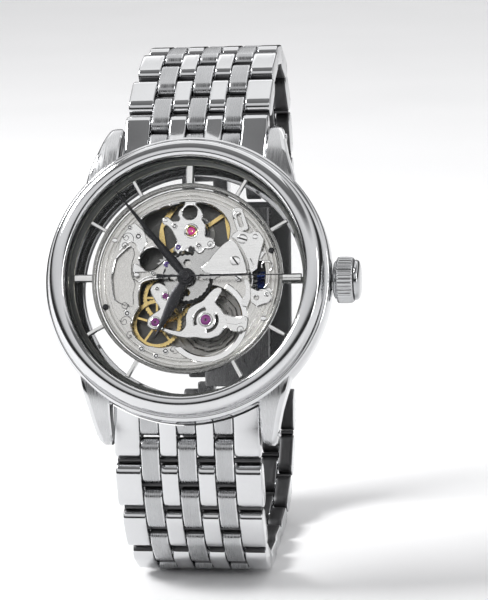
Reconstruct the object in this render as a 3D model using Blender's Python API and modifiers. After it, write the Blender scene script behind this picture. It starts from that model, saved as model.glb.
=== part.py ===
"""Skeleton wristwatch: a steel case with a see-through movement, on a seven-column bracelet.

The watch stands on its closed bracelet with the dial leaning back. Metres, +Z up, +X towards
3 o'clock, +Y away from the dial. The origin is under the bracelet link that the watch rests on.
Lengths below are written in millimetres and scaled by MM.
"""

import math

import bmesh
import bpy
from mathutils import Vector

MM = 0.001

# ---- driving dimensions (mm and degrees) ----
LEAN = 22.0  # how far the dial leans back from upright
CASE_R = 20.25
BEZEL_R = 19.4
GLASS_R = 16.75
PLATE_R = 12.8
LUG_GAP = 21.0
LUG_TIP = 23.7  # lug tips, from the centre of the dial
BAR_OUT = 21.05  # the spring bars that hold the end links
STEM_W = -2.1  # level of the crown's axis behind the dial plane
CROWN_X = 20.4  # the crown's inner face, pushed in
CROWN_FLUTES, CROWN_R, FLUTE_R = 24, 3.30, 3.05

HALF_PITCH = 3.7  # along the bracelet, from one pin to the next
LINK_R = 1.45  # half the thickness of a link, and its round ends
OUTER_COLUMN = 3.64  # width of the outer polished columns next to the lugs
COLUMN_TAPER = 0.33  # each pair of rows is this much narrower a side
NARROWEST_OUTER = 2.2
MID_COLUMN = 2.4
SATIN_COLUMN = 2.6
SIDE_GAP = 0.12
PIN_R = 0.45
PIN_HOLE_R = 0.62
FIRST_PIN = (23.1, -4.7)  # the bracelet's first pin, in the case's plane: out, level

# the direction of each half pitch: from straight down on the lower side, from straight up above
LOWER_TURNS = [3, 10, 19, 27, 38, 54, 75, 90, 90, 90, 90, 98, 108, 119, 131, 144, 157, 168]
UPPER_TURNS = [52, 55, 60, 68, 80, 93, 106, 119, 132, 145, 157, 168, 177, 184]
BASE_STEP = 8  # the half pitch that lies flat under the watch

# places in the movement, from the centre of the dial
BALANCE_AT = (0.5, 6.8)
PALLET_AT = (-1.4, 4.5)
ESCAPE_AT = (-3.1, 2.0)
THIRD_AT = (-3.1, -2.4)
CENTRE_WHEEL_AT = (-4.4, -6.1)
BARREL_AT = (2.8, -5.9)
MINUTE_WHEEL_AT = (3.0, 2.3)
CLUTCH_X = 10.2
MOTION_SPAN = math.dist(MINUTE_WHEEL_AT, (0, 0))

# teeth, which also set the turning ratios
FOURTH_TEETH, ESCAPE_PINION = 60, 6
THIRD_TEETH, FOURTH_PINION = 48, 6
CENTRE_TEETH, THIRD_PINION = 45, 6
BARREL_TEETH, CENTRE_PINION = 60, 10
CANNON_TEETH, MINUTE_TEETH = 10, 20
MINUTE_PINION, HOUR_TEETH = 5, 30

HOUR_AT, MINUTE_AT, SECONDS_AT = 206.0, 320.0, 89.5  # hands, clockwise from 12

POLISHED = ((0.80, 0.80, 0.81), 0.10, 1.0)
SATIN = ((0.62, 0.62, 0.63), 0.35, 1.0)
RHODIUM = ((0.78, 0.77, 0.74), 0.28, 1.0)
GILT = ((0.83, 0.62, 0.24), 0.25, 1.0)
DARK = ((0.08, 0.08, 0.085), 0.35, 1.0)
BLUED = ((0.05, 0.07, 0.20), 0.30, 1.0)
RUBY = ((0.35, 0.05, 0.22), 0.15, 0.0)
GLASS = ((0.90, 0.93, 0.93), 0.05, 0.0)
GASKET = ((0.03, 0.03, 0.03), 0.70, 0.0)


# ---- scene and small tools ----
for old in list(bpy.data.objects):
    bpy.data.objects.remove(old, do_unlink=True)

parts = bpy.data.collections.new("skeleton_wristwatch")
cutters = bpy.data.collections.new("cutters")
bpy.context.scene.collection.children.link(parts)
bpy.context.scene.collection.children.link(cutters)


def empty(name, location=(0, 0, 0), parent=None, rotation=(0, 0, 0)):
    """A guide that places what hangs from it. The location is in mm."""
    made = bpy.data.objects.new(name, None)
    parts.objects.link(made)
    made.location = Vector(location) * MM
    made.rotation_euler = rotation
    made.parent = parent
    return made


def finish(obj, look):
    """Give the piece its own material."""
    colour, rough, metal = look
    material = bpy.data.materials.new(obj.name + "_finish")
    material.use_nodes = True
    shader = material.node_tree.nodes["Principled BSDF"]
    shader.inputs["Base Color"].default_value = (*colour, 1)
    shader.inputs["Roughness"].default_value = rough
    shader.inputs["Metallic"].default_value = metal
    obj.data.materials.clear()
    obj.data.materials.append(material)
    return obj


def place(obj, parent, location=(0, 0, 0), rotation=(0, 0, 0), look=None):
    """Put a new piece in the parts, or in the cutters where it has no look."""
    (parts if look else cutters).objects.link(obj)
    obj.location = Vector(location) * MM
    obj.rotation_euler = rotation
    obj.parent = parent
    if look:
        return finish(obj, look)
    obj.hide_render = True
    obj.display_type = "WIRE"
    return obj


def smooth(mesh):
    """Shade round faces smooth and keep real edges sharp."""
    mesh.shade_smooth()
    mesh.set_sharp_from_angle(angle=math.radians(35))


def turned(name, profile, parent, look, location=(0, 0, 0), rotation=(0, 0, 0), steps=48):
    """A turned ring. The profile is a closed loop of (radius, height), down its outer side first."""
    mesh = bpy.data.meshes.new(name)
    count = len(profile)
    mesh.from_pydata(
        [(r * MM, 0, h * MM) for r, h in profile], [(i, (i + 1) % count) for i in range(count)], []
    )
    obj = place(bpy.data.objects.new(name, mesh), parent, location, rotation, look)
    screw = obj.modifiers.new("turned", "SCREW")
    screw.angle = math.tau
    screw.steps = screw.render_steps = steps
    screw.use_merge_vertices = True
    screw.merge_threshold = 0.000001
    return obj


def flat(name, outlines, low, high, parent, look, location=(0, 0, 0), rotation=(0, 0, 0)):
    """A flat piece cut to an outline, the first, with the others as holes, between two levels."""
    curve = bpy.data.curves.new(name, "CURVE")
    curve.dimensions = "2D"
    curve.fill_mode = "BOTH"
    curve.extrude = (high - low) / 2 * MM
    for outline in outlines:
        spline = curve.splines.new("POLY")
        spline.points.add(len(outline) - 1)
        for point, (x, y) in zip(spline.points, outline):
            point.co = (x * MM, y * MM, 0, 1)
        spline.use_cyclic_u = True
    source = bpy.data.objects.new(name + "_outline", curve)
    bpy.context.scene.collection.objects.link(source)
    bpy.context.view_layer.update()
    mesh = bpy.data.meshes.new_from_object(
        source.evaluated_get(bpy.context.evaluated_depsgraph_get())
    )
    bpy.data.objects.remove(source)
    shape = bmesh.new()
    shape.from_mesh(mesh)
    bmesh.ops.remove_doubles(shape, verts=shape.verts, dist=1e-7)
    bmesh.ops.translate(shape, verts=shape.verts, vec=(0, 0, (low + high) / 2 * MM))
    bmesh.ops.recalc_face_normals(shape, faces=shape.faces)
    shape.to_mesh(mesh)
    shape.free()
    smooth(mesh)
    mesh.name = name
    return place(bpy.data.objects.new(name, mesh), parent, location, rotation, look)


def rod(name, radius, low, high, parent, look, location=(0, 0, 0), rotation=(0, 0, 0), sides=24):
    """A cylinder along its own Z, between two levels."""
    shape = bmesh.new()
    bmesh.ops.create_cone(
        shape, cap_ends=True, segments=sides, radius1=radius * MM, radius2=radius * MM,
        depth=(high - low) * MM,
    )
    bmesh.ops.translate(shape, verts=shape.verts, vec=(0, 0, (low + high) / 2 * MM))
    mesh = bpy.data.meshes.new(name)
    shape.to_mesh(mesh)
    shape.free()
    smooth(mesh)
    return place(bpy.data.objects.new(name, mesh), parent, location, rotation, look)


def block(name, lows, highs, parent, look, location=(0, 0, 0), rotation=(0, 0, 0)):
    """A box between two corners."""
    shape = bmesh.new()
    bmesh.ops.create_cube(shape, size=1)
    for vert in shape.verts:
        vert.co = Vector(
            [(a if c < 0 else b) * MM for c, a, b in zip(vert.co, lows, highs)]
        )
    mesh = bpy.data.meshes.new(name)
    shape.to_mesh(mesh)
    shape.free()
    return place(bpy.data.objects.new(name, mesh), parent, location, rotation, look)


def combine(obj, other, how):
    """A live Boolean with another piece, which becomes a hidden guide."""
    step = obj.modifiers.new(how.lower(), "BOOLEAN")
    step.operation = how
    step.object = other
    step.solver = "EXACT"
    return obj


def cut(obj, *tools):
    for tool in tools:
        combine(obj, tool, "DIFFERENCE")
    return obj


def join(obj, *pieces):
    for piece in pieces:
        combine(obj, piece, "UNION")
    return obj


def arc(centre, radius, start, end, count):
    """Points along an arc, from start to end degrees, counted anticlockwise from +X."""
    angles = [math.radians(start + (end - start) * i / (count - 1)) for i in range(count)]
    return [(centre[0] + radius * math.cos(a), centre[1] + radius * math.sin(a)) for a in angles]


def circle(centre, radius, count=24):
    return arc(centre, radius, 0, 360 - 360 / count, count)


def toothed(pitch_r, teeth, depth=0.16):
    """A toothed outline, tip and root in turn, a little inside the pitch circle's full depth."""
    points = []
    for i in range(teeth):
        points += arc((0, 0), pitch_r + depth * 0.4, 360 * i / teeth, 360 * i / teeth, 2)[:1]
        points += arc((0, 0), pitch_r - depth * 0.6, 360 * (i + 0.5) / teeth, 0, 2)[:1]
    return points


def spokes(hub_r, rim_r, count, width):
    """The windows between a wheel's spokes, each with its corners at the hub and under the rim."""
    windows = []
    for i in range(count):
        middle = 360 / count * (i + 0.5)
        inner = 180 / count - math.degrees(width / 2 / hub_r)
        outer = 180 / count - math.degrees(width / 2 / rim_r)
        windows.append(
            arc((0, 0), rim_r, middle - outer, middle + outer, 5)
            + arc((0, 0), hub_r, middle + inner, middle - inner, 2)
        )
    return windows


def wheel(name, at, pitch_r, teeth, low, high, arms, look, arbor, pinion=None, turn=0):
    """A spoked wheel on its arbor, with its pinion: arbor is (radius, low, high)."""
    radius, foot, top = arbor
    rim = pitch_r - 0.1 - max(0.30, pitch_r * 0.12)
    hub = max(radius + 0.25, pitch_r * 0.17)
    holes = spokes(hub, rim, arms, max(0.22, pitch_r * 0.09)) if arms else []
    made = flat(name, [toothed(pitch_r, teeth)] + holes, low, high, head, look, (*at, 0),
                (0, 0, math.radians(turn)))
    join(made, rod(name + "_arbor", radius, foot, top, head, None, (*at, 0), sides=8))
    if pinion:
        pinion_r, leaves, bottom, up = pinion
        join(made, flat(name + "_pinion", [toothed(pinion_r, leaves, 0.14)], bottom, up, head,
                        None, (*at, 0)))
    return made


def capsule(width_a, width_b, a, b, count=6):
    """A flat bar's outline from a to b with round ends of two widths."""
    heading = math.degrees(math.atan2(b[1] - a[1], b[0] - a[0]))
    return (arc(b, width_b / 2, heading - 90, heading + 90, count)
            + arc(a, width_a / 2, heading + 90, heading + 270, count))


# ---- where the head and the bracelet's pins are ----
lean = math.radians(LEAN)


def from_head(out, level):
    """A point of the case's middle plane as (back, up), from the centre of the dial."""
    return (out * math.sin(lean) - level * math.cos(lean),
            out * math.cos(lean) + level * math.sin(lean))


def chain(start, turns, upward):
    """The pins along one side of the bracelet as (back, up)."""
    pins = [start]
    for turn in turns:
        angle = math.radians(turn)
        back, up = pins[-1]
        pins.append((back + HALF_PITCH * math.sin(angle),
                     up + (HALF_PITCH if upward else -HALF_PITCH) * math.cos(angle)))
    return pins


lower_pins = chain(from_head(-FIRST_PIN[0], FIRST_PIN[1]), LOWER_TURNS, False)
upper_pins = chain(from_head(*FIRST_PIN), UPPER_TURNS, True)
rest_back = (lower_pins[BASE_STEP][0] + lower_pins[BASE_STEP + 1][0]) / 2
rest_up = lower_pins[BASE_STEP][1] - LINK_R

watch = empty("watch")
head = empty("head", (0, -rest_back, -rest_up), watch, (math.radians(90) - lean, 0, 0))


# ---- the case ----
# the middle ring, with four lugs that curve down towards the wrist, is one forging
mid_case = turned("mid_case", [
    (19.75, 0.60), (20.10, 0.30), (CASE_R, -0.60), (CASE_R, -2.90), (20.0, -3.80), (19.3, -4.40),
    (17.3, -4.40), (17.3, 0.60),
], head, POLISHED, steps=40)
for side in (-1, 1):
    for end in (-1, 1):
        plan = [(13.9, 13.9), (14.6, 13.2), (13.6, 18.0), (12.55, 22.3), (12.0, LUG_TIP),
                (10.9, LUG_TIP), (LUG_GAP / 2, 23.2), (LUG_GAP / 2, 16.6), (11.2, 14.1)]
        lug = flat(f"lug_{side}_{end}", [[(side * x, end * y) for x, y in plan]], -6.6, 0.4, head,
                   None)
        # seen from the side, a lug starts level with the case and curves down to its tip
        upper = arc((14.0, -10.2), 10.4, 90, 36, 7)
        lower = arc((14.0, -14.5), 12.0, 44, 90, 5)
        sideways = flat(f"lug_side_{side}_{end}", [[(end * x, y) for x, y in upper + lower]],
                        -16, 16, head, None, rotation=(math.radians(90), 0, math.radians(90)))
        combine(lug, sideways, "INTERSECT")
        join(mid_case, lug)
for end in (-1, 1):
    cut(mid_case, rod(f"bar_holes_{end}", 0.70, -11.7, 11.7, head, None,
                      (0, end * BAR_OUT, -4.3), (0, math.radians(90), 0), 12))
cut(mid_case, rod("tube_hole", 1.62, 15, 22, head, None, (0, 0, STEM_W),
                  (0, math.radians(90), 0), 20))

turned("bezel", [
    (17.5, 3.15), (18.2, 3.15), (18.9, 2.70), (BEZEL_R, 1.40), (19.25, 0.70), (17.5, 0.70),
    (17.5, 1.25), (16.85, 1.80), (16.85, 2.75),
], head, POLISHED, steps=36)


def disc(name, top, bottom, steps):
    """Turn a profile that meets the axis: rings of points with one point at each pole."""
    shape = bmesh.new()
    rings = []
    for r, h in top + bottom:
        if r:
            rings.append([shape.verts.new((r * MM * math.cos(math.tau * i / steps),
                                           r * MM * math.sin(math.tau * i / steps), h * MM))
                          for i in range(steps)])
        else:
            rings.append([shape.verts.new((0, 0, h * MM))] * steps)
    for upper, under in zip(rings, rings[1:]):
        for i in range(steps):
            corners = (upper[i], under[i], under[(i + 1) % steps], upper[(i + 1) % steps])
            shape.faces.new(dict.fromkeys(corners))
    bmesh.ops.recalc_face_normals(shape, faces=shape.faces)
    mesh = bpy.data.meshes.new(name)
    shape.to_mesh(mesh)
    shape.free()
    smooth(mesh)
    return place(bpy.data.objects.new(name, mesh), head, look=GLASS)


# the glass is domed: its top and underside are parabolas of the same rise
GLASS_TOP, GLASS_UNDER, GLASS_RISE = 3.15, 2.0, 0.45
dome = [(GLASS_R * share / 3, GLASS_RISE * (1 - (share / 3) ** 2)) for share in range(4)]
disc("crystal", [(r, GLASS_TOP + h) for r, h in dome],
     [(r, GLASS_UNDER + h) for r, h in dome[::-1]], 36)

turned("flange_ring", [
    (17.15, 0.50), (17.15, -0.60), (16.15, -0.60), (16.60, 1.55), (16.75, 1.55),
], head, DARK, steps=36)
turned("clear_dial", [(17.1, -0.70), (17.1, -1.10), (13.5, -1.10), (13.5, -0.70)], head, GLASS,
       steps=36)
turned("case_back", [
    (19.2, -4.50), (18.9, -5.70), (18.2, -6.10), (15.7, -6.10), (15.7, -4.50),
], head, POLISHED, steps=36)
disc("case_back_crystal", [(0, -5.30), (15.6, -5.30)], [(15.6, -5.90), (0, -5.90)], 32)

# hour markers: polished bars that run out from one ring, at every hour but 6
markers = turned("hour_marker_ring", [(13.45, 0.45), (13.45, -0.55), (12.95, -0.55), (12.95, 0.45)],
                 head, POLISHED, steps=36)
for hour in range(12):
    if hour != 6:
        half = 0.6 if hour % 3 == 0 else 0.32
        join(markers, block(f"marker_{hour}", (-half, 13.2, -0.32), (half, 16.05, 0.32), head, None,
                            rotation=(0, 0, -math.radians(30 * hour))))

# ---- plates and bridges of the movement ----
plate = flat("main_plate", [circle((0, 0), PLATE_R, 40), circle((0, 0), 1.55, 12),
                            circle((7.0, -1.0), 0.5, 8)], -1.50, -0.40, head, RHODIUM)
cut(plate,
    rod("balance_window", 5.4, -3, 1, head, None, (0.4, 6.5, 0), sides=20),
    rod("centre_wheel_window", 3.8, -3, 1, head, None, (*CENTRE_WHEEL_AT, 0), sides=16),
    rod("third_window", 2.1, -3, 1, head, None, (-4.7, -2.7, 0), sides=12),
    rod("barrel_window", 4.6, -3, 1, head, None, (*BARREL_AT, 0), sides=18),
    flat("left_window", [arc((0, 0), 10.6, 148, 197, 8) + arc((0, 0), 6.6, 193, 152, 6)], -3, 1,
         head, None),
    block("clutch_window", (9.3, -1.9, -3), (11.3, 1.9, 1), head, None))

balance_bridge = flat("balance_bridge", [
    arc((0.1, 9.2), 1.75, 20, 160, 7) + [(-3.2, 11.0), (-4.3, 11.2), (-5.2, 9.8), (-3.4, 8.2)]
    + arc(BALANCE_AT, 1.5, 165, 250, 5) + [(0.9, 4.2), (3.2, 3.4), (4.4, 4.0), (3.0, 5.2)]
    + arc(BALANCE_AT, 1.5, 330, 385, 4) + [(3.4, 8.6), (5.2, 10.0), (4.3, 11.2), (3.2, 11.0)],
    circle((0.1, 9.2), 1.1, 12), circle(BALANCE_AT, 0.95, 12),
], 0.02, 0.38, head, RHODIUM)

barrel_bridge = flat("barrel_bridge", [
    arc(BARREL_AT, 1.7, 100, 190, 6) + arc((-0.8, -9.2), 1.4, 80, 200, 5)[::-1]
    + [(-4.6, -10.6), (-3.4, -11.8), (-0.5, -10.4)] + arc(BARREL_AT, 1.7, 240, 320, 5)
    + [(6.2, -7.6), (10.6, -6.0), (11.2, -3.6), (9.2, -2.6), (5.0, -4.4)]
    + [(3.6, -3.4), (2.8, -2.6), (1.9, -3.3)],
    circle(BARREL_AT, 0.9, 12),
], -0.30, 0.10, head, RHODIUM)

keyless_cover = flat("keyless_cover", [
    [(5.2, 6.6), (6.6, 7.2), (8.2, 6.4), (9.0, 4.8), (10.2, 3.6), (12.1, 3.4), (11.9, 4.6),
     (10.6, 6.6), (8.6, 9.0), (6.6, 10.2), (5.4, 9.4), (5.0, 8.2)],
    circle((9.6, 5.9), 0.45, 8),
], 0.15, 0.50, head, RHODIUM)

rear_bridge = flat("rear_bridge", [
    arc((0, 0), 12.4, 160, 385, 24) + [(8.6, 4.2), (5.2, 1.6), (0.6, 2.6), (-3.8, 4.0),
                                        (-7.6, 4.2)],
    circle(BARREL_AT, 0.95, 12), circle(CENTRE_WHEEL_AT, 1.9, 12), circle((7.8, -0.4), 1.6, 12),
    circle((-8.4, -1.4), 1.7, 12), circle((0, 0), 0.5, 12),
], -3.90, -3.40, head, RHODIUM)
for number, (x, y) in enumerate([(-10.4, 1.0), (10.6, -3.6), (-10.0, -5.6)]):
    join(rear_bridge, rod(f"post_{number}", 0.8, -3.6, -1.55, head, None, (x, y, 0), sides=12))
join(rear_bridge, turned("rotor_post", [(0.85, -3.6), (0.85, -4.9), (0.5, -4.9), (0.5, -3.6)], head,
                         None, steps=12))

cock = flat("balance_cock", [
    capsule(2.6, 2.2, (9.2, 8.0), BALANCE_AT), circle(BALANCE_AT, 0.35, 8),
], -3.90, -3.45, head, RHODIUM)
join(cock, rod("cock_post", 0.9, -3.6, -1.55, head, None, (8.8, 7.7, 0), sides=12))

turned("shock_setting", [(0.88, 0.44), (0.88, 0.06), (0.30, 0.06), (0.30, 0.44)], head, RUBY,
       (*BALANCE_AT, 0), steps=16)

# ---- winding and setting parts ----
turned("crown_tube", [(1.45, 4.2), (1.45, 0.0), (0.80, 0.0), (0.80, 4.2)], head, SATIN,
       (17.4, 0, STEM_W), (0, math.radians(90), 0), 16)
flutes = []
for i in range(CROWN_FLUTES):
    step = 360 / CROWN_FLUTES
    flutes += arc((0, 0), CROWN_R, step * i, 0, 2)[:1]
    flutes += arc((0, 0), FLUTE_R, step * (i + 0.5), 0, 2)[:1]
crown = flat("crown", [flutes], 0.3, 2.9, head, POLISHED, (CROWN_X, 0, STEM_W),
             (0, math.radians(90), 0))
join(crown, rod("crown_cap", 2.75, 2.6, 3.7, head, None, (CROWN_X, 0, STEM_W),
                (0, math.radians(90), 0), 16))
join(crown, rod("crown_neck", 2.6, 0, 0.6, head, None, (CROWN_X, 0, STEM_W),
                (0, math.radians(90), 0), 16))
cut(crown, rod("crown_bore", 1.65, -1, 1.9, head, None, (CROWN_X, 0, STEM_W),
               (0, math.radians(90), 0), 12))
turned("crown_gasket", [(1.58, 0.45), (1.58, 0), (1.52, 0), (1.52, 0.45)], head, GASKET,
       (CROWN_X + 0.1, 0, STEM_W), (0, math.radians(90), 0), 16)
stem = rod("winding_stem", 0.48, 8.4, 21.9, head, SATIN, (0, 0, STEM_W), (0, math.radians(90), 0),
           12)
clutch = flat("clutch_wheel", [toothed(1.15, 16, 0.3), circle((0, 0), 0.62, 12)], -0.5, 0.5, head,
              BLUED, (CLUTCH_X, 0, STEM_W), (0, math.radians(90), 0))
flat("setting_lever", [
    [(-0.6, -0.4), (0.2, -0.8), (1.4, -0.4), (2.0, 0.5), (1.5, 0.6), (0.9, 0.3), (0.3, 0.7),
     (-0.5, 0.5)],
], -0.30, -0.05, head, RHODIUM, (8.9, 3.1, 0))
flat("yoke", [
    [(-0.5, -0.3), (0.3, -0.5), (0.7, 0.6), (0.6, 2.6), (0.2, 3.4), (-0.2, 3.2), (0.1, 2.2),
     (0.0, 1.0), (-0.5, 0.5)],
], 0.14, 0.38, head, RHODIUM, (8.3, -3.6, 0))

# ---- motion works and hands ----
cannon_r = MOTION_SPAN * CANNON_TEETH / (CANNON_TEETH + MINUTE_TEETH)
hour_r = MOTION_SPAN * HOUR_TEETH / (HOUR_TEETH + MINUTE_PINION)
cannon = flat("cannon_pinion", [toothed(cannon_r, CANNON_TEETH), circle((0, 0), 0.38, 10)],
              -0.34, -0.12, head, SATIN)
join(cannon, turned("cannon_tube", [(0.62, 1.25), (0.62, -0.30), (0.38, -0.30), (0.38, 1.25)],
                    head, None, steps=10))
hour_wheel = flat("hour_wheel", [toothed(hour_r, HOUR_TEETH), circle((0, 0), 0.78, 12)]
                  + [circle(arc((0, 0), 2.1, 90 * i, 0, 2)[0], 0.6, 6) for i in range(4)],
                  0.00, 0.20, head, RHODIUM)
join(hour_wheel, turned("hour_tube", [(1.0, 0.80), (1.0, 0.10), (0.78, 0.10), (0.78, 0.80)], head,
                        None, steps=12))
minute_wheel = flat("minute_wheel", [toothed(MOTION_SPAN - cannon_r, MINUTE_TEETH)], -0.34, -0.12, head,
                    RHODIUM, (*MINUTE_WHEEL_AT, 0))
join(minute_wheel, flat("minute_pinion", [toothed(0.5, MINUTE_PINION, 0.2)], -0.2, 0.2, head, None,
                        (*MINUTE_WHEEL_AT, 0)))


def clockwise(angle):
    return (0, 0, -math.radians(angle))


def hand(name, half_widths, hub_r, bore_r, low, high, angle, sides=16):
    """A hand that points along +Y before it is turned: (distance, half width) down one side."""
    right = [(w, d) for d, w in half_widths]
    left = [(-w, d) for d, w in half_widths[::-1] if w > 0.001]
    blade = flat(name, [right + left], low, high, head, DARK, rotation=clockwise(angle))
    join(blade, rod(name + "_hub", hub_r, low, high, head, None, sides=sides))
    return cut(blade, rod(name + "_bore", bore_r, low - 1, high + 1, head, None, sides=12))


hand("hour_hand", [(0.3, 0.35), (2.0, 0.42), (4.6, 0.85), (6.4, 0.80), (8.4, 0.38), (9.7, 0.0)],
     1.25, 0.80, 0.84, 1.04, HOUR_AT)
hand("minute_hand", [(0.3, 0.55), (4.0, 0.65), (10.5, 0.42), (15.2, 0.0)], 1.0, 0.40, 1.28, 1.46,
     MINUTE_AT)
seconds = flat("seconds_hand", [
    [(0.07, 16.0), (0.13, 0.0), (0.16, -2.4), (0.36, -4.0), (-0.36, -4.0), (-0.16, -2.4),
     (-0.13, 0.0), (-0.07, 16.0)],
], 1.66, 1.80, head, DARK, rotation=clockwise(SECONDS_AT))
join(seconds, rod("seconds_hub", 0.6, 1.66, 1.86, head, None, sides=12))

# ---- going train: barrel, centre, third, fourth and escape wheels ----
span = math.dist(CENTRE_WHEEL_AT, BARREL_AT)
barrel_r = span * BARREL_TEETH / (BARREL_TEETH + CENTRE_PINION)
barrel = flat("barrel", [toothed(barrel_r, BARREL_TEETH), circle((0, 0), 0.85, 12)], -3.25, -3.0,
              head, GILT, (*BARREL_AT, 0))
join(barrel, turned("barrel_wall", [(5.0, -2.45), (5.0, -3.1), (4.7, -3.1), (4.7, -2.45)], head,
                    None, (*BARREL_AT, 0), steps=24))
span = math.dist(THIRD_AT, CENTRE_WHEEL_AT)
centre_r = span * CENTRE_TEETH / (CENTRE_TEETH + THIRD_PINION)
wheel("centre_wheel", CENTRE_WHEEL_AT, centre_r, CENTRE_TEETH, -1.95, -1.75, 5, GILT,
      (0.30, -3.35, -0.9), (1.05, CENTRE_PINION, -3.25, -2.85), 20)
third_r = math.dist(THIRD_AT, (0, 0)) * THIRD_TEETH / (THIRD_TEETH + FOURTH_PINION)
wheel("third_wheel", THIRD_AT, third_r, THIRD_TEETH, -2.35, -2.15, 4, GILT, (0.22, -3.3, -1.6),
      (0.40, THIRD_PINION, -2.0, -1.7))
fourth_r = math.dist(ESCAPE_AT, (0, 0)) * FOURTH_TEETH / (FOURTH_TEETH + ESCAPE_PINION)
wheel("fourth_wheel", (0, 0), fourth_r, FOURTH_TEETH, -1.95, -1.75, 4, GILT, (0.25, -3.8, 1.60),
      (0.42, FOURTH_PINION, -2.4, -2.1))
teeth = []
for i in range(18):
    teeth += arc((0, 0), 1.85, 20 * i, 0, 2)[:1] + arc((0, 0), 1.45, 20 * i + 5, 0, 2)[:1]
escape = flat("escape_wheel", [teeth] + spokes(0.5, 1.2, 4, 0.2), -2.70, -2.52, head, SATIN,
              (*ESCAPE_AT, 0))
join(escape, rod("escape_arbor", 0.16, -3.3, -1.6, head, None, (*ESCAPE_AT, 0), sides=10),
     flat("escape_pinion", [toothed(0.26, ESCAPE_PINION, 0.12)], -2.0, -1.7, head, None,
          (*ESCAPE_AT, 0)))

to_balance = math.degrees(math.atan2(BALANCE_AT[1] - PALLET_AT[1], BALANCE_AT[0] - PALLET_AT[0]))
fork = flat("pallet_fork", [
    [(0.35, -0.12), (2.0, -0.14), (2.3, -0.32), (2.3, 0.32), (2.0, 0.14), (0.35, 0.12),
     (0.1, 0.5), (-0.5, 1.05), (-0.85, 0.9), (-0.35, 0.3), (-0.35, -0.3), (-0.85, -0.9),
     (-0.5, -1.05), (0.1, -0.5)],
], -2.70, -2.52, head, SATIN, (*PALLET_AT, 0), (0, 0, math.radians(to_balance)))
join(fork, rod("fork_arbor", 0.15, -3.3, -1.6, head, None, (*PALLET_AT, 0), sides=10))

balance = flat("balance_wheel", [circle((0, 0), 5.2, 36)] + spokes(0.6, 4.75, 2, 0.55), -3.15,
               -2.85, head, GILT, (*BALANCE_AT, 0), (0, 0, math.radians(35)))
join(balance, rod("balance_staff", 0.2, -3.42, 0.30, head, None, (*BALANCE_AT, 0), sides=10),
     rod("roller", 0.42, -2.9, -2.50, head, None, (*BALANCE_AT, 0), sides=12))


def spiral(name, inner, outer, coils, level, thick, look, at, sides_per_turn=14):
    """A flat coil spring: its radius grows evenly with the angle."""
    curve = bpy.data.curves.new(name, "CURVE")
    curve.dimensions = "3D"
    curve.bevel_depth = thick * MM
    curve.bevel_resolution = 0
    curve.use_fill_caps = True
    count = int(coils * sides_per_turn) + 1
    spline = curve.splines.new("POLY")
    spline.points.add(count - 1)
    for i, point in enumerate(spline.points):
        radius = inner + (outer - inner) * i / (count - 1)
        angle = math.tau * i / sides_per_turn
        point.co = (radius * math.cos(angle) * MM, radius * math.sin(angle) * MM, 0, 1)
    return place(bpy.data.objects.new(name, curve), head, (*at, level), look=look)


spiral("hairspring", 0.6, 2.3, 4.5, -2.15, 0.06, SATIN, BALANCE_AT, 12)
spiral("mainspring", 1.15, 4.45, 5.5, -2.74, 0.10, SATIN, BARREL_AT, 12)
ratchet = flat("ratchet_wheel", [toothed(2.9, 30, 0.24)], -4.16, -3.98, head, SATIN,
               (*BARREL_AT, 0))
join(ratchet, rod("barrel_arbor", 0.70, -4.05, -0.45, head, None, (*BARREL_AT, 0), sides=12))

# the winding weight is a heavy rim segment on a thin arm, free to turn either way
rotor = flat("rotor", [
    arc((0, 0), 12.4, 180, 360, 24) + arc((0, 0), 2.1, 0, 180, 8),
    arc((0, 0), 10.2, 350, 190, 14) + arc((0, 0), 3.4, 205, 335, 6),
    circle((0, 0), 1.0, 12),
], -4.95, -4.42, head, SATIN)

# ---- end links, fixed between the lugs ----
def columns(outer):
    """The seven columns as (low, high, is it satin), across the bracelet."""
    sizes = [outer, SATIN_COLUMN, MID_COLUMN, SATIN_COLUMN, MID_COLUMN, SATIN_COLUMN, outer]
    x = -(sum(sizes) + 6 * SIDE_GAP) / 2
    made = []
    for i, size in enumerate(sizes):
        made.append((x, x + size, i % 2 == 1))
        x += size + SIDE_GAP
    return made


def row(name, bars, outline, parent, location, rotation, hole=None):
    """One prism for each bar across the bracelet. The outline is (along, out of the wrist)."""
    made = []
    for i, (low, high) in enumerate(bars):
        outlines = [outline] + ([hole] if hole else [])
        made.append(flat(f"{name}_{i}", outlines, low, high, parent, None, location, rotation))
    return made


def pin_outline(centre, radius):
    return circle(centre, radius, 6)


def link_outline(start, end):
    """A bar seen from the side: round about each pin, flat between them."""
    heading = math.degrees(math.atan2(end[1] - start[1], end[0] - start[0]))
    return (arc(end, LINK_R, heading - 90, heading + 90, 4)
            + arc(start, LINK_R, heading + 90, heading + 270, 4))


SIDEWAYS = (math.radians(90), 0, math.radians(90))  # a flat outline's x, y, z as y, z, x

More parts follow.
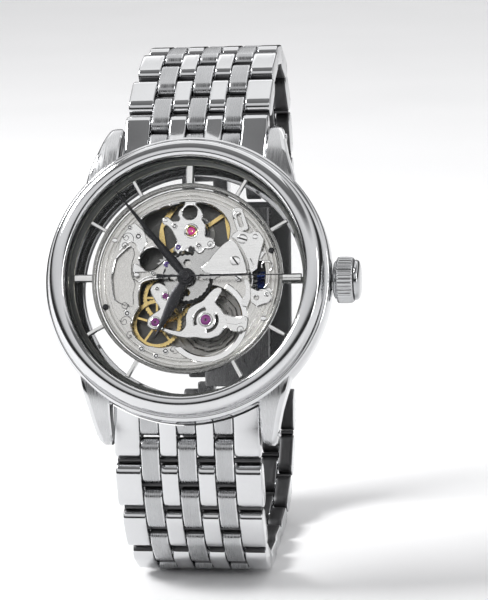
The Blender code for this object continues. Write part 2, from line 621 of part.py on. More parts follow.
for end, label in ((1, "12"), (-1, "6")):
    out, level = end * FIRST_PIN[0], FIRST_PIN[1]
    bars = columns(OUTER_COLUMN)
    satin = [(a, b) for a, b, is_satin in bars if is_satin]
    polished = [(a, b) for a, b, is_satin in bars if not is_satin]
    tongue = [(end * 17.0, -1.9), (end * 21.8, -2.5)] + [
        (out + 1.2 * math.cos(math.radians(a)) * end, level + 1.2 * math.sin(math.radians(a)))
        for a in (70, 30, -10, -50, -90)] + [(end * 21.0, -6.1), (end * 17.0, -6.1)]
    stub = [(end * 17.0, -1.9), (end * 20.6, -2.35), (end * 21.25, -3.0), (end * 21.25, -6.1),
            (end * 17.0, -6.1)]
    body = flat(f"end_link_{label}", [stub], -10.3, 10.3, head, SATIN, rotation=SIDEWAYS)
    join(body, *row(f"end_tongues_{label}", polished, tongue, head, (0, 0, 0), SIDEWAYS))
    join(body, flat(f"end_pin_{label}", [pin_outline((out, level), PIN_R)], -8, 8, head, None,
                    rotation=SIDEWAYS))
    join(body, rod(f"end_bar_{label}", 0.5, -11.5, 11.5, head, None, (0, end * BAR_OUT, -4.3),
                   (0, math.radians(90), 0), 8))
    cut(body, rod(f"end_scoop_{label}", 20.45, -9, 3, head, None, sides=40))


# ---- bracelet links ----
def link(name, near, middle, far, outer, carries_pin):
    """One pair of rows: satin bars that turn on the pin before, and polished bars that hold the next.

    near, middle and far are the three pins as (back, up). The piece's origin is on the near pin.
    """
    there = (0, near[0] - rest_back, near[1] - rest_up)
    relative = [(p[0] - near[0], p[1] - near[1]) for p in (near, middle, far)]
    bars = columns(outer)
    satin = [(a, b) for a, b, is_satin in bars if is_satin]
    polished = [(a, b) for a, b, is_satin in bars if not is_satin]
    half = polished[-1][1] - 1.0
    body = flat(name, [circle(relative[1], 0.6, 4)], -half, half, watch, SATIN, there, SIDEWAYS)
    join(body, *row(name + "_satin", satin, link_outline(relative[0], relative[1]), watch, there,
                    SIDEWAYS, pin_outline(relative[0], PIN_HOLE_R)))
    join(body, *row(name + "_polished", polished, link_outline(relative[1], relative[2]), watch,
                    there, SIDEWAYS))
    if carries_pin:
        join(body, flat(name + "_pin", [pin_outline(relative[2], PIN_R)], -half, half, watch, None,
                        there, SIDEWAYS))
    return body


def side(label, pins):
    count = len(pins) // 2
    for k in range(count):
        outer = max(NARROWEST_OUTER, OUTER_COLUMN - COLUMN_TAPER * k)
        near, middle, far = pins[2 * k: 2 * k + 3]
        link(f"{label}_link_{k + 1}", near, middle, far, outer,
             label == "lower" or k < count - 1)


side("lower", lower_pins)
side("upper", upper_pins)

# ---- folding clasp, at the back of the loop: it hangs on the lower side's last pin ----
foot, top = lower_pins[-1], upper_pins[-1]
CLASP = math.dist(foot, top)
clasp_turn = math.atan2(top[1] - foot[1], top[0] - foot[0])
clasp = empty("clasp", (0, foot[0] - rest_back, foot[1] - rest_up), watch,
              (clasp_turn, 0, 0))
# in the clasp's own frame Y runs up along it and -Z is outward, away from the wrist
SMALL_R, EAR_GAP = 0.6, 0.15
BLADE_X, EAR_LOW, EAR_HIGH = 3.8, 3.95, 5.2
COVER_PIVOT = (4.4, 0.25)
BLADE_PIVOT = (CLASP - 3.4, 0.25)

inner_bars = [(a, b) for a, b, is_satin in columns(NARROWEST_OUTER) if is_satin]
inner = flat("clasp_blade_inner", [
    [(1.9, 1.0), (BLADE_PIVOT[0] + SMALL_R, 1.0), (BLADE_PIVOT[0] + SMALL_R, 2.2), (1.9, 2.2)],
], -EAR_HIGH, EAR_HIGH, clasp, POLISHED, rotation=SIDEWAYS)
join(inner, *row("clasp_tongues", inner_bars, link_outline((0, 0), (1.3, 0)), clasp, (0, 0, 0),
                 SIDEWAYS, pin_outline((0, 0), PIN_HOLE_R)))


def ears(name, pivot, reach):
    """Two ears beside the outer blade, round about the pivot, with a hole for its pin."""
    at, level = pivot
    outline = arc(pivot, SMALL_R, 0, 180 if reach < level else -180, 5)
    outline += [(at - SMALL_R, reach), (at + SMALL_R, reach)]
    bars = [(-EAR_HIGH, -EAR_LOW), (EAR_LOW, EAR_HIGH)]
    return row(name, bars, outline, clasp, (0, 0, 0), SIDEWAYS, pin_outline(pivot, 0.44))


join(inner, *ears("inner_ears", BLADE_PIVOT, 1.4))
blade = flat("clasp_blade_outer", [
    arc(BLADE_PIVOT, SMALL_R, -90, 90, 5) + arc(COVER_PIVOT, SMALL_R, 90, 270, 5),
], -BLADE_X, BLADE_X, clasp, POLISHED, rotation=SIDEWAYS)
for label, pivot in (("cover", COVER_PIVOT), ("blade", BLADE_PIVOT)):
    join(blade, flat(f"{label}_pin", [pin_outline(pivot, 0.34)], -5.1, 5.1, clasp, None,
                     rotation=SIDEWAYS))
cover_end = CLASP - LINK_R - 0.4
cover = flat("clasp_cover", [
    [(3.2, -0.5), (3.2, -1.4), (9.0, -1.95), (cover_end / 2, -2.1), (cover_end - 6, -1.95),
     (cover_end, -1.4), (cover_end, -0.5)],
], -8.3, 8.3, clasp, SATIN, rotation=SIDEWAYS)
join(cover, *ears("cover_ears", COVER_PIVOT, -1.0))
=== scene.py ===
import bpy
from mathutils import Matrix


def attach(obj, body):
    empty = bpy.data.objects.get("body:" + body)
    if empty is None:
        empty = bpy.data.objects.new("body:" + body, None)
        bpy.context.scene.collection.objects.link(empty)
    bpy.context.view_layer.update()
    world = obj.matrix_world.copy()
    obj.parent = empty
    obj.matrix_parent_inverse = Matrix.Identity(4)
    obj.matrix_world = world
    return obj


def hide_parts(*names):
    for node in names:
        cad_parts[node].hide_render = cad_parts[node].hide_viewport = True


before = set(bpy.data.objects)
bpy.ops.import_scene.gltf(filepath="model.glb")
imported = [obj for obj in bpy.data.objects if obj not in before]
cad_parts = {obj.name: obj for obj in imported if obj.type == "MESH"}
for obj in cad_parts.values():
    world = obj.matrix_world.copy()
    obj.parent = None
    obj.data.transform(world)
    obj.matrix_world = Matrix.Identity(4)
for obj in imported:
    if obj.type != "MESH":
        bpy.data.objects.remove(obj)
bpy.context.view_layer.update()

import math

import bmesh
import bpy
import numpy as np
from mathutils import Matrix, Vector
from mathutils.geometry import tessellate_polygon

# ---- case middle ----
# The middle of the case is one ring of stainless steel, turned and polished to a soft mirror.
# Lengths are in millimetres, in the dial's own axes: x to 3 o'clock, y to 12, out to the eye.
MM = 0.001
LEAN = math.radians(22)
DIAL_CENTRE = (0.0, -13.8201, 44.8105)


def in_dial(x, y, out):
    """Dial points in metres: y and out are turned back by the lean, then moved to the dial."""
    x, y, out = np.broadcast_arrays(x, y, out)
    back = y * math.sin(LEAN) - out * math.cos(LEAN) + DIAL_CENTRE[1]
    up = y * math.cos(LEAN) + out * math.sin(LEAN) + DIAL_CENTRE[2]
    return np.stack([x, back, up], -1) * MM


def rounded(corners, radius, steps=5):
    """A closed outline with each corner changed to a parabola that leaves its sides at radius."""
    corners = np.asarray(corners, float)
    reach = np.broadcast_to(radius, len(corners))
    ends = []
    for shift in (1, -1):
        side = np.roll(corners, shift, 0) - corners
        share = np.minimum(reach / np.linalg.norm(side, axis=1), 0.48)
        ends.append(corners + side * share[:, None])
    t = np.linspace(0, 1, steps)[:, None, None]
    curve = (1 - t) ** 2 * ends[0] + 2 * t * (1 - t) * corners + t ** 2 * ends[1]
    return curve.transpose(1, 0, 2).reshape(-1, 2)


def grid(points, closed=False, look=0, uv=None):
    """A shell from points[row, column]: columns run round a loop, and rows do too if closed.

    Open rows end in a fan to the middle of the first and last loop.
    """
    rows, columns = points.shape[:2]
    number = np.arange(rows * columns).reshape(rows, columns)
    this = number if closed else number[:-1]
    after = np.roll(number, -1, 0) if closed else number[1:]
    quads = np.stack([this, np.roll(this, -1, 1), np.roll(after, -1, 1), after], -1)
    looks = np.broadcast_to(look, this.shape)
    faces, kinds = quads.reshape(-1, 4).tolist(), looks.reshape(-1).tolist()
    flat_uv = np.zeros((rows * columns, 2)) if uv is None else uv.reshape(-1, 2)
    where = points.reshape(-1, 3)
    if not closed:
        for row, band in ((0, 0), (rows - 1, -1)):
            middle = np.full(columns, len(where))
            where = np.vstack([where, points[row].mean(0)])
            flat_uv = np.vstack([flat_uv, flat_uv.reshape(-1, 2)[number[row]].mean(0)])
            faces += np.stack([number[row], np.roll(number[row], -1), middle], -1).tolist()
            kinds += looks[band].tolist()
    return where, faces, kinds, flat_uv


def turned(profile, steps=160, centre=(0, 0), closed=True, look=0):
    """A turned shell: each (radius, level) of the profile is swept round the dial's normal."""
    radius, level = np.asarray(profile, float).T[:, :, None]
    angle = np.linspace(0, math.tau, steps, endpoint=False)
    x = centre[0] + radius * np.cos(angle)
    y = centre[1] + radius * np.sin(angle)
    return grid(in_dial(x, y, level), closed, look)


def piece(name, shells, looks, body, stands_for=(), sharp=38):
    """One object from shells of (points, faces, look of each face, uv), smooth but for edges."""
    starts = np.cumsum([0] + [len(shell[0]) for shell in shells])
    faces = [[v + int(start) for v in face] for shell, start in zip(shells, starts)
             for face in shell[1]]
    mesh = bpy.data.meshes.new(name)
    mesh.from_pydata(np.vstack([shell[0] for shell in shells]).tolist(), [], faces)
    mesh.polygons.foreach_set("material_index", sum((shell[2] for shell in shells), []))
    shape = bmesh.new()
    shape.from_mesh(mesh)
    bmesh.ops.recalc_face_normals(shape, faces=shape.faces)
    shape.to_mesh(mesh)
    shape.free()
    corner = np.empty(len(mesh.loops), int)
    mesh.loops.foreach_get("vertex_index", corner)
    uv = np.vstack([shell[3] for shell in shells])[corner]
    mesh.uv_layers.new(name="grain").data.foreach_set("uv", uv.reshape(-1))
    for look in looks:
        mesh.materials.append(look)
    mesh.shade_smooth()
    mesh.set_sharp_from_angle(angle=math.radians(sharp))
    made = bpy.data.objects.new(name, mesh)
    bpy.context.scene.collection.objects.link(made)
    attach(made, body)
    if stands_for:
        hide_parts(*stands_for)
    return made


NOISE_LOW, NOISE_HIGH = 0.3, 0.7  # the middle part of the noise, where nearly all of it lies


def add_node(tree, kind, operation=None, inputs=(), **named):
    """A shader node. Each input, by place or by name, is a value or a socket to link from."""
    made = tree.nodes.new("ShaderNode" + kind)
    if operation:
        made.operation = operation
    sockets = list(enumerate(inputs)) + [(key.replace("_", " "), v) for key, v in named.items()]
    for key, value in sockets:
        if isinstance(value, bpy.types.NodeSocket):
            tree.links.new(value, made.inputs[key])
        else:
            made.inputs[key].default_value = value
    return made


def surface(name, colour, rough, metal=1.0, grain=900, spread=0.05, relief=0.004, axes="object",
            tint=0.08, alpha=1.0, coat=0.0):
    """A worked surface. Noise along the grain (marks per metre) moves the roughness and relief.

    axes says what the grain follows: the object, the dial, rings round the dial's centre, or
    the piece's own uv in mm. A broad second noise darkens the colour by up to tint.
    """
    made = bpy.data.materials.new(name)
    made.use_nodes = True
    tree = made.node_tree
    shader = tree.nodes["Principled BSDF"]
    shader.inputs["Metallic"].default_value = metal
    shader.inputs["Alpha"].default_value = alpha
    shader.inputs["Coat Weight"].default_value = coat
    where = add_node(tree, "TexCoord")
    turn = add_node(tree, "Mapping", Vector=where.outputs["UV" if axes == "uv" else "Object"])
    along = turn.outputs["Vector"]
    if axes in ("dial", "ring"):
        turn.vector_type = "TEXTURE"
        turn.inputs["Location"].default_value = Vector(DIAL_CENTRE) * MM
        turn.inputs["Rotation"].default_value = (math.pi / 2 - LEAN, 0, 0)
    if axes == "ring":
        apart = add_node(tree, "SeparateXYZ", Vector=along).outputs
        angle = add_node(tree, "Math", "ARCTAN2", (apart["Y"], apart["X"])).outputs[0]
        flat = add_node(tree, "VectorMath", "MULTIPLY", (along, (1, 1, 0))).outputs[0]
        radius = add_node(tree, "VectorMath", "LENGTH", (flat,)).outputs["Value"]
        along = add_node(tree, "CombineXYZ", X=radius, Y=angle, Z=apart["Z"]).outputs[0]
    stretch = add_node(tree, "VectorMath", "MULTIPLY", (along, np.broadcast_to(grain, 3)))
    marks = add_node(tree, "TexNoise", Vector=stretch.outputs[0], Scale=1, Detail=3).outputs["Fac"]
    cloud = add_node(tree, "TexNoise", Vector=where.outputs["Object"], Scale=260).outputs["Fac"]
    gloss = add_node(tree, "MapRange", Value=marks, From_Min=NOISE_LOW, From_Max=NOISE_HIGH,
                     To_Min=max(rough - spread, 0.02), To_Max=rough + spread)
    tree.links.new(gloss.outputs["Result"], shader.inputs["Roughness"])
    bump = add_node(tree, "Bump", Strength=0.5, Distance=relief * MM, Height=marks)
    tree.links.new(bump.outputs["Normal"], shader.inputs["Normal"])
    both = add_node(tree, "Mix", Factor=0.45, A=cloud, B=marks)
    shade = add_node(tree, "ValToRGB", Fac=both.outputs["Result"])
    dark, light = shade.color_ramp.elements
    dark.position, dark.color = NOISE_LOW, (*[c * (1 - tint) for c in colour], 1)
    light.position, light.color = NOISE_HIGH, (*colour, 1)
    tree.links.new(shade.outputs["Color"], shader.inputs["Base Color"])
    return made


polished_steel = surface("polished_steel", (0.64, 0.645, 0.655), 0.085, grain=2600,
                         spread=0.035, relief=0.0012, tint=0.05)
satin_lug = surface("satin_lug", (0.56, 0.565, 0.575), 0.28, grain=(9000, 260, 260), spread=0.09,
                    relief=0.006, axes="dial", tint=0.16)

case_profile = rounded(
    [(19.75, 0.60), (20.10, 0.30), (20.25, -0.60), (20.25, -2.90), (20.0, -3.80), (19.3, -4.40),
     (17.3, -4.40), (17.3, 0.60)],
    [0.12, 0.25, 0.5, 0.6, 0.4, 0.15, 0.1, 0.1])
piece("case_middle", [turned(case_profile, 200)], [polished_steel], "case",
      ["mid_case"])

# ---- lugs ----
# Four lugs are forged with the case and curve down to the wrist. Their faces are brushed
# lengthwise, and a polished bevel is filed along each edge and round each tip.
LUG_STEPS = 26
PLAN_Y = [13.4, 15.0, 18.0, 21.0, 22.3, 22.75]
PLAN_OUTER = [14.9, 14.55, 13.6, 12.85, 12.45, 12.0]
PLAN_INNER = [10.5, 10.5, 10.5, 10.5, 10.6, 10.95]


def lug(side, end):
    """A lug: at each distance out its section is a bevelled block between two curved levels.

    The top follows an arc that falls to the tip, the underside a flatter arc below it.
    """
    t = np.linspace(0, 1, LUG_STEPS)
    y = PLAN_Y[0] + (PLAN_Y[-1] - PLAN_Y[0]) * np.sin(t * math.pi / 2)
    outer, inner = np.interp(y, PLAN_Y, PLAN_OUTER), np.interp(y, PLAN_Y, PLAN_INNER)
    top = -10.2 + np.sqrt(10.6 ** 2 - np.clip(y - 14.0, 0, None) ** 2)
    under = np.maximum(-14.5 + np.sqrt(12.0 ** 2 - np.clip(y - 14.0, 0, None) ** 2), -6.25)
    under = np.where(y < 15.5, -2.6, under)
    # the last steps round the tip over by closing the section towards its middle
    tip = np.clip((y - 22.15) / 0.6, 0, 1)
    close = 1 - np.sqrt(1 - tip ** 2 * 0.72)
    middle = (top + under) / 2
    top, under = top + (middle - top) * close, under + (middle - under) * close
    bevel, low_bevel = 0.62 * (1 - 0.6 * tip), 0.3 * (1 - 0.6 * tip)
    rise = np.minimum(0.42, (top - under) * 0.3)
    # round the section: up the inner wall, over its bevel, across the face, down the outer wall
    x = np.stack([inner, inner, inner + 0.22, outer - bevel, outer - bevel * 0.35, outer, outer,
                  outer - low_bevel, inner + 0.2])
    level = np.stack([under + 0.2, top - 0.22, top, top, top - rise * 0.3, top - rise,
                      under + 0.3, under, under])
    points = in_dial(side * x.T, end * y[:, None], level.T)
    look = np.zeros((LUG_STEPS - 1, 9), int)
    look[:, 2] = 1
    return grid(points, look=look)


CORNERS = [(1, 1), (1, -1), (-1, -1), (-1, 1)]
for number, (side, end) in enumerate(CORNERS, 1):
    piece(f"lug_{number}", [lug(side, end)], [polished_steel, satin_lug], "case",
          sharp=30)
# the spring bars show as small drilled ends on the lugs' outer sides
SPRING_BAR_Y, SPRING_BAR_LEVEL = 21.05, -4.3
around = np.linspace(0, math.tau, 24, endpoint=False)
profile = np.array([(12.2, 0.52), (12.95, 0.52), (12.95, 0.34), (12.8, 0.30), (12.8, 0.02)])
for number, (side, end) in enumerate(CORNERS, 1):
    x = side * profile[:, :1] + 0 * around
    y = end * SPRING_BAR_Y + profile[:, 1:] * np.cos(around)
    out = SPRING_BAR_LEVEL + profile[:, 1:] * np.sin(around)
    piece(f"spring_bar_{number}", [grid(in_dial(x, y, out))], [polished_steel], "case")

# ---- bezel ----
# A rounded polished steel bezel is pressed on the case; a thin step shows round its foot.
bezel_profile = rounded(
    [(17.3, 3.15), (18.15, 3.15), (18.95, 2.75), (19.4, 1.75), (19.4, 1.25), (19.25, 0.72),
     (17.5, 0.70), (17.5, 1.25), (16.85, 1.80), (16.85, 2.80)],
    [0.25, 0.5, 0.55, 0.4, 0.2, 0.05, 0.1, 0.1, 0.1, 0.3], 7)
piece("bezel_ring", [turned(bezel_profile, 240)], [polished_steel], "case",
      ["bezel"], 50)

# ---- bracelet links ----
# Each link is one pair of rows: three satin bars that turn on the pin before, and four polished
# bars, pressed on the same spine, that hold the next pin. Bars are milled, domed and bevelled.
HALF_PITCH = 3.7
BAR_R = 1.45
SATIN_WIDTH, MIDDLE_WIDTH, SIDE_GAP = 2.6, 2.4, 0.12
WIDEST_OUTER, TAPER, NARROWEST_OUTER = 3.64, 0.33, 2.2
FIRST_PIN = (23.1, -4.7)  # out from the dial's centre, and its level
DOME = 0.14  # how far a bar's face rises towards its middle
GAP_LEVEL = 0.45  # below this height a bar's end turns into the gap; there and underneath, the bar is coloured dark as painted shade
SPINE_R, PIN_R, RIB_R = 0.6, 0.45, 0.39
LOWER_TURNS = [3, 10, 19, 27, 38, 54, 75, 90, 90, 90, 90, 98, 108, 119, 131, 144, 157, 168]
UPPER_TURNS = [52, 55, 60, 68, 80, 93, 106, 119, 132, 145, 157, 168, 177, 184]

satin_bar = surface("satin_bar", (0.47, 0.475, 0.485), 0.27, grain=(11, 0.35, 1), spread=0.10,
                    relief=0.006, axes="uv", tint=0.18)
# painted shade: a dark copy of the satin steel for faces that lie in shadow
painted_shade_satin = surface("painted_shade_satin", (0.10, 0.10, 0.103), 0.42, grain=(9, 0.4, 1), spread=0.10,
                     relief=0.006, axes="uv", tint=0.25)
# painted shade: a dark steel for gaps, grooves and recesses that lie in shadow
painted_shade_steel = surface("painted_shade_steel", (0.10, 0.10, 0.105), 0.45, grain=1500,
                    spread=0.12, tint=0.3)


def pins(start_out, turns, upward):
    """The pins of one side as (back, up): each is half a pitch on, at its own turn."""
    angle = np.radians(turns)
    steps = HALF_PITCH * np.stack([np.sin(angle), np.cos(angle) * (1 if upward else -1)], -1)
    start = in_dial(0, start_out, FIRST_PIN[1])[1:] / MM
    return np.vstack([start, start + np.cumsum(steps, 0)])


def columns(outer):
    """The seven bars across as (low, high, is it satin), with a hair's gap between them."""
    sizes = np.array([outer, SATIN_WIDTH, MIDDLE_WIDTH, SATIN_WIDTH, MIDDLE_WIDTH, SATIN_WIDTH,
                      outer])
    high = np.cumsum(sizes + SIDE_GAP) - SIDE_GAP - (sizes.sum() + 6 * SIDE_GAP) / 2
    return [(b - size, b, i % 2 == 1) for i, (b, size) in enumerate(zip(high, sizes))]


def capsule(length, radius):
    """A bar from the side as (along, out): half circles about both pins, with a domed top."""
    turn = np.radians(np.linspace(-90, 90, 9))
    near = np.stack([-radius * np.cos(turn), radius * np.sin(turn)], -1)
    far = np.stack([length + radius * np.cos(turn), -radius * np.sin(turn)], -1)
    along = np.linspace(0, length, 9)[1:-1]
    top = np.stack([along, 0 * along + radius], -1)
    outline = np.vstack([near, top, far, np.stack([along[::-1], 0 * along - radius], -1)])
    share = (outline[:, 0] - length / 2) / (length / 2 + radius)
    outer = outline[:, 1] > 0
    outline[outer, 1] *= 1 - DOME / radius
    outline[outer, 1] += DOME * (1 - share[outer] ** 2)
    return outline


def bar(near, far, low, high, outward, satin):
    """A bar between two pins: its side outline is carried across, drawn in over both edges."""
    heading = np.asarray(far) - near
    length = np.linalg.norm(heading)
    heading = heading / length
    normal = outward * np.array([-heading[1], heading[0]])
    sides = np.array([(0.0, 0.24), (0.03, 0.13), (0.09, 0.05), (0.2, 0.0)])
    x = np.concatenate([low + sides[:, 0], np.linspace(low + 0.6, high - 0.6, 3),
                        high - sides[::-1, 0]])
    inset = np.concatenate([sides[:, 1], np.zeros(3), sides[::-1, 1]])
    outlines = np.stack([capsule(length, BAR_R - d) for d in inset])
    back = near[0] + outlines[..., 0] * heading[0] + outlines[..., 1] * normal[0]
    up = near[1] + outlines[..., 0] * heading[1] + outlines[..., 1] * normal[1]
    points = np.stack([np.broadcast_to(x[:, None], back.shape), back, up], -1) * MM
    uv = np.stack([np.broadcast_to(x[:, None] + 40, back.shape), outlines[..., 0] + 20], -1)
    look = np.zeros((len(x) - 1, outlines.shape[1]), int)
    if satin:
        look[3:-3] = 1
    # the ends in the gaps and the underside take the dark painted shade
    look[2:-2, outlines[4, :, 1] < GAP_LEVEL] = 2
    return grid(points, look=look, uv=uv)


def pin(at, radius, half, look=0):
    """A pin across the bracelet, turned with a small chamfer at both ends."""
    around = np.linspace(0, math.tau, 16, endpoint=False)
    x = np.array([-half, -half + 0.1, half - 0.1, half])[:, None]
    r = np.array([radius - 0.1, radius, radius, radius - 0.1])[:, None]
    return grid(np.stack([x + 0 * around, at[0] + r * np.cos(around), at[1] + r * np.sin(around)],
                         -1) * MM, look=look)


lower_pins = pins(-FIRST_PIN[0], LOWER_TURNS, False)
upper_pins = pins(FIRST_PIN[0], UPPER_TURNS, True)
for label, chain, outward in (("lower", lower_pins, -1), ("upper", upper_pins, 1)):
    for k in range(len(chain) // 2):
        near, middle, far = chain[2 * k: 2 * k + 3]
        outer = max(NARROWEST_OUTER, WIDEST_OUTER - TAPER * k)
        made = [bar(near, middle, a, b, outward, True) if satin
                else bar(middle, far, a, b, outward, False)
                for a, b, satin in columns(outer)]
        edge = columns(outer)[-1][1]
        # a cross rib, coloured dark as painted shade, closes each gap between one bar and the next
        # in its column
        made += [pin((near + middle) / 2, RIB_R, edge - 0.2, 2),
                 pin((middle + far) / 2, RIB_R, edge - 0.2, 2)]
        made.append(pin(middle, SPINE_R, edge - 1.0))
        if label == "lower" or k < len(chain) // 2 - 1:
            made.append(pin(far, PIN_R, edge - 1.0))
        node = f"{label}_link_{k + 1}"
        piece(node + "_bars", made, [polished_steel, satin_bar, painted_shade_satin], node,
              [node], 50)

# ---- end links ----
# A solid end link fills the gap between each pair of lugs. It is milled to the case's curve, and
# its polished tongues hold the bracelet's first pin.
CASE_FIT, SATIN_REACH = 20.42, 21.52  # radius of the inner end, and where satin columns end


def end_column(end, low, high, tongue):
    """One column of an end link: its inner end follows the case's circle, its top slopes out."""
    share = np.array([0.0, 0.02, 0.06, 0.14, 0.5, 0.86, 0.94, 0.98, 1.0])
    x = low + (high - low) * share
    inset = np.array([0.2, 0.1, 0.03, 0, 0, 0, 0.03, 0.1, 0.2])
    outlines = []
    for at, d in zip(x, inset):
        start = math.sqrt(CASE_FIT ** 2 - at ** 2)
        if tongue:
            turn = np.radians(np.linspace(75, -90, 12))
            r = BAR_R - 0.03 - d
            nose = np.stack([FIRST_PIN[0] + r * np.cos(turn), FIRST_PIN[1] + r * np.sin(turn)], -1)
            top = [(start, -1.9 - d), (start + (23.4 - start) * 0.5, -2.75 - d)]
            rest = [(FIRST_PIN[0] - 1, -6.1 + d), (start, -6.0 + d)]
            outline = np.vstack([top, nose, rest])
        else:
            reach = SATIN_REACH - d
            top = [(start, -1.9 - d), (max(start + 0.1, reach - 0.55), -2.45 - d)]
            nose = [(reach - 0.15, -2.75 - d), (reach, -3.2), (reach, -3.8), (reach, -5.0)]
            side = [(reach, -5.8)] * 8
            rest = [(reach - 0.3, -6.1 + d), (start, -6.0 + d)]
            outline = np.array(top + nose + side + rest)
        outlines.append(outline)
    outlines = np.stack(outlines)
    points = in_dial(x[:, None] + 0 * outlines[..., 0], end * outlines[..., 0], outlines[..., 1])
    uv = np.stack([x[:, None] + 0 * outlines[..., 0], outlines[..., 0]], -1)
    look = np.zeros((len(x) - 1, outlines.shape[1]), int)
    if not tongue:
        look[2:-2, :3] = 1
    # the underside and the inner end against the case are coloured dark as painted shade
    look[:, -3:] = 2
    return grid(points, look=look, uv=uv)


for label, end in (("12", 1), ("6", -1)):
    shells = [end_column(end, a + (0.06 if i == 0 else 0), b - (0.06 if i == 6 else 0), not satin)
              for i, (a, b, satin) in enumerate(columns(WIDEST_OUTER))]
    # the solid behind the columns: a plain block of the same curve, seen only in the gaps and
    # coloured dark as painted shade
    x = np.linspace(-10.25, 10.25, 24)[:, None]
    start = np.sqrt(CASE_FIT ** 2 - x ** 2) + 0.05
    out = np.concatenate([start, start, 0 * x + 21.3, 0 * x + 21.3], 1)
    level = np.array([-5.9, -2.5, -3.2, -5.9]) + 0 * x
    shells.append(grid(in_dial(x + 0 * out, end * out, level), look=2))
    first = in_dial(0, end * FIRST_PIN[0], FIRST_PIN[1])[1:] / MM
    shells.append(pin(first, PIN_R, 9.0))
    piece(f"end_link_{label}_block", shells, [polished_steel, satin_bar, painted_shade_steel], "case",
          [f"end_link_{label}"], 50)

# ---- sapphire, dial ring and hour markers ----
# The domed sapphire is pressed in the bezel. Below it a dark sloping flange frames the dial, and
# the dial itself is a clear ring, so one sees past the movement.
sapphire = surface("sapphire_glass", (0.30, 0.31, 0.31), 0.03, metal=0.0, grain=60,
                   spread=0.015, relief=0.0002, tint=0.02, alpha=0.012)
dial_glass = surface("dial_glass", (0.20, 0.21, 0.21), 0.08, metal=0.0, grain=60,
                     spread=0.02, relief=0.0002, tint=0.05, alpha=0.05)
flange_grey = surface("flange_grey", (0.062, 0.068, 0.065), 0.42, metal=0.3,
                      grain=(3000, 40, 3000), spread=0.1, relief=0.003, axes="ring", tint=0.35)
warm_line = surface("warm_line", (0.40, 0.39, 0.33), 0.3, grain=2500, tint=0.2)

GLASS_R, GLASS_DOME = 16.75, 0.45
share = np.linspace(0, 1, 15)[1:]
rise = GLASS_DOME * (1 - share ** 2)
glass_top = np.stack([GLASS_R * share, 3.15 + rise], -1)
glass_under = np.stack([GLASS_R * share, 2.0 + rise], -1)
glass_side = np.vstack([glass_top, [(GLASS_R, 2.1)], glass_under[::-1]])
piece("sapphire", [turned(glass_side, 120, closed=False)], [sapphire], "case",
      ["crystal"])
ring = rounded([(17.1, -0.70), (17.1, -1.10), (13.5, -1.10), (13.5, -0.70)], 0.08, 3)
piece("dial_glass_ring", [turned(ring, 160)], [dial_glass], "case", ["clear_dial"])

slope = np.array([(17.15, 0.50), (17.15, -0.60), (16.15, -0.60), (16.18, -0.45), (16.22, -0.42),
                  (16.24, -0.30), (16.40, 0.50), (16.52, 1.25), (16.56, 1.30), (16.60, 1.42),
                  (16.66, 1.55), (16.75, 1.55)])
slope_look = np.zeros((len(slope), 1), int)
slope_look[[3, 8]] = 1
piece("flange", [turned(slope, 200, look=slope_look)], [flange_grey, warm_line], "case",
      ["flange_ring"])

MARKER_RING = rounded([(13.45, 0.42), (13.45, -0.55), (12.95, -0.55), (12.95, 0.30), (13.1, 0.45),
                       (13.3, 0.45)], [0.06, 0.05, 0.05, 0.05, 0.05, 0.05], 3)
marker_steel = surface("marker_steel", (0.80, 0.80, 0.79), 0.14, grain=1800,
                       spread=0.05, axes="dial", tint=0.08)
ring_steel = surface("ring_steel", (0.34, 0.34, 0.33), 0.24, grain=(8000, 20, 3000), spread=0.08,
                     relief=0.002, axes="ring", tint=0.15)
# painted shade: near black for grooves, slots, cups and recesses
painted_shade_black = surface("painted_shade_black", (0.03, 0.03, 0.03), 0.5, metal=0.3, tint=0.4)


def marker(hour):
    """A faceted bar that runs out along its hour: a ridge along the top, mitred at both ends."""
    half = 0.55 if hour % 3 == 0 else 0.27
    # the section of a bar with two bevels, and a fine groove beside each one, coloured black as
    # painted shade
    across = half * np.array([-1, -1, -0.72, -0.66, 0, 0.66, 0.72, 1, 1])
    level = np.array([-0.32, 0.10, 0.30, 0.25, 0.27, 0.25, 0.30, 0.10, -0.32])
    out = np.array([13.2, 13.25, 15.95, 16.05])[:, None]
    keep = np.array([0.8, 1, 1, 0.6])[:, None]
    turn = math.radians(30 * hour)
    x = across * math.cos(turn) + out * math.sin(turn)
    y = out * math.cos(turn) - across * math.sin(turn)
    return grid(in_dial(x, y, level * keep), look=2 * (np.arange(9) % 5 == 2)[None])


markers = [marker(hour) for hour in range(12) if hour != 6]
piece("hour_markers", [turned(MARKER_RING, 200, look=1)] + markers,
      [marker_steel, ring_steel, painted_shade_black], "case", ["hour_marker_ring"], 25)

# ---- main plate ----
# The plate is brass, milled into wells for the wheels, then grained and plated with rhodium.
# It is two steps: a lower floor, and an upper face with the wells cut through it.
rhodium_grain = surface("rhodium_grain", (0.78, 0.77, 0.745), 0.27, grain=(9000, 9, 3000),
                        spread=0.07, relief=0.002, axes="ring", tint=0.08)
rhodium_brushed = surface("rhodium_brushed", (0.90, 0.90, 0.89), 0.22, grain=(260, 9000, 3000),
                          spread=0.07, relief=0.002, axes="dial", tint=0.07)
rhodium_bevel = surface("rhodium_bevel", (0.90, 0.90, 0.895), 0.10, grain=2500,
                        spread=0.03, tint=0.05)
# painted shade: a dark copy of the plate's metal for the walls and underside of the main plate
painted_shade_wall = surface("painted_shade_wall", (0.13, 0.13, 0.125), 0.40, grain=2500,
                    spread=0.08, tint=0.35)


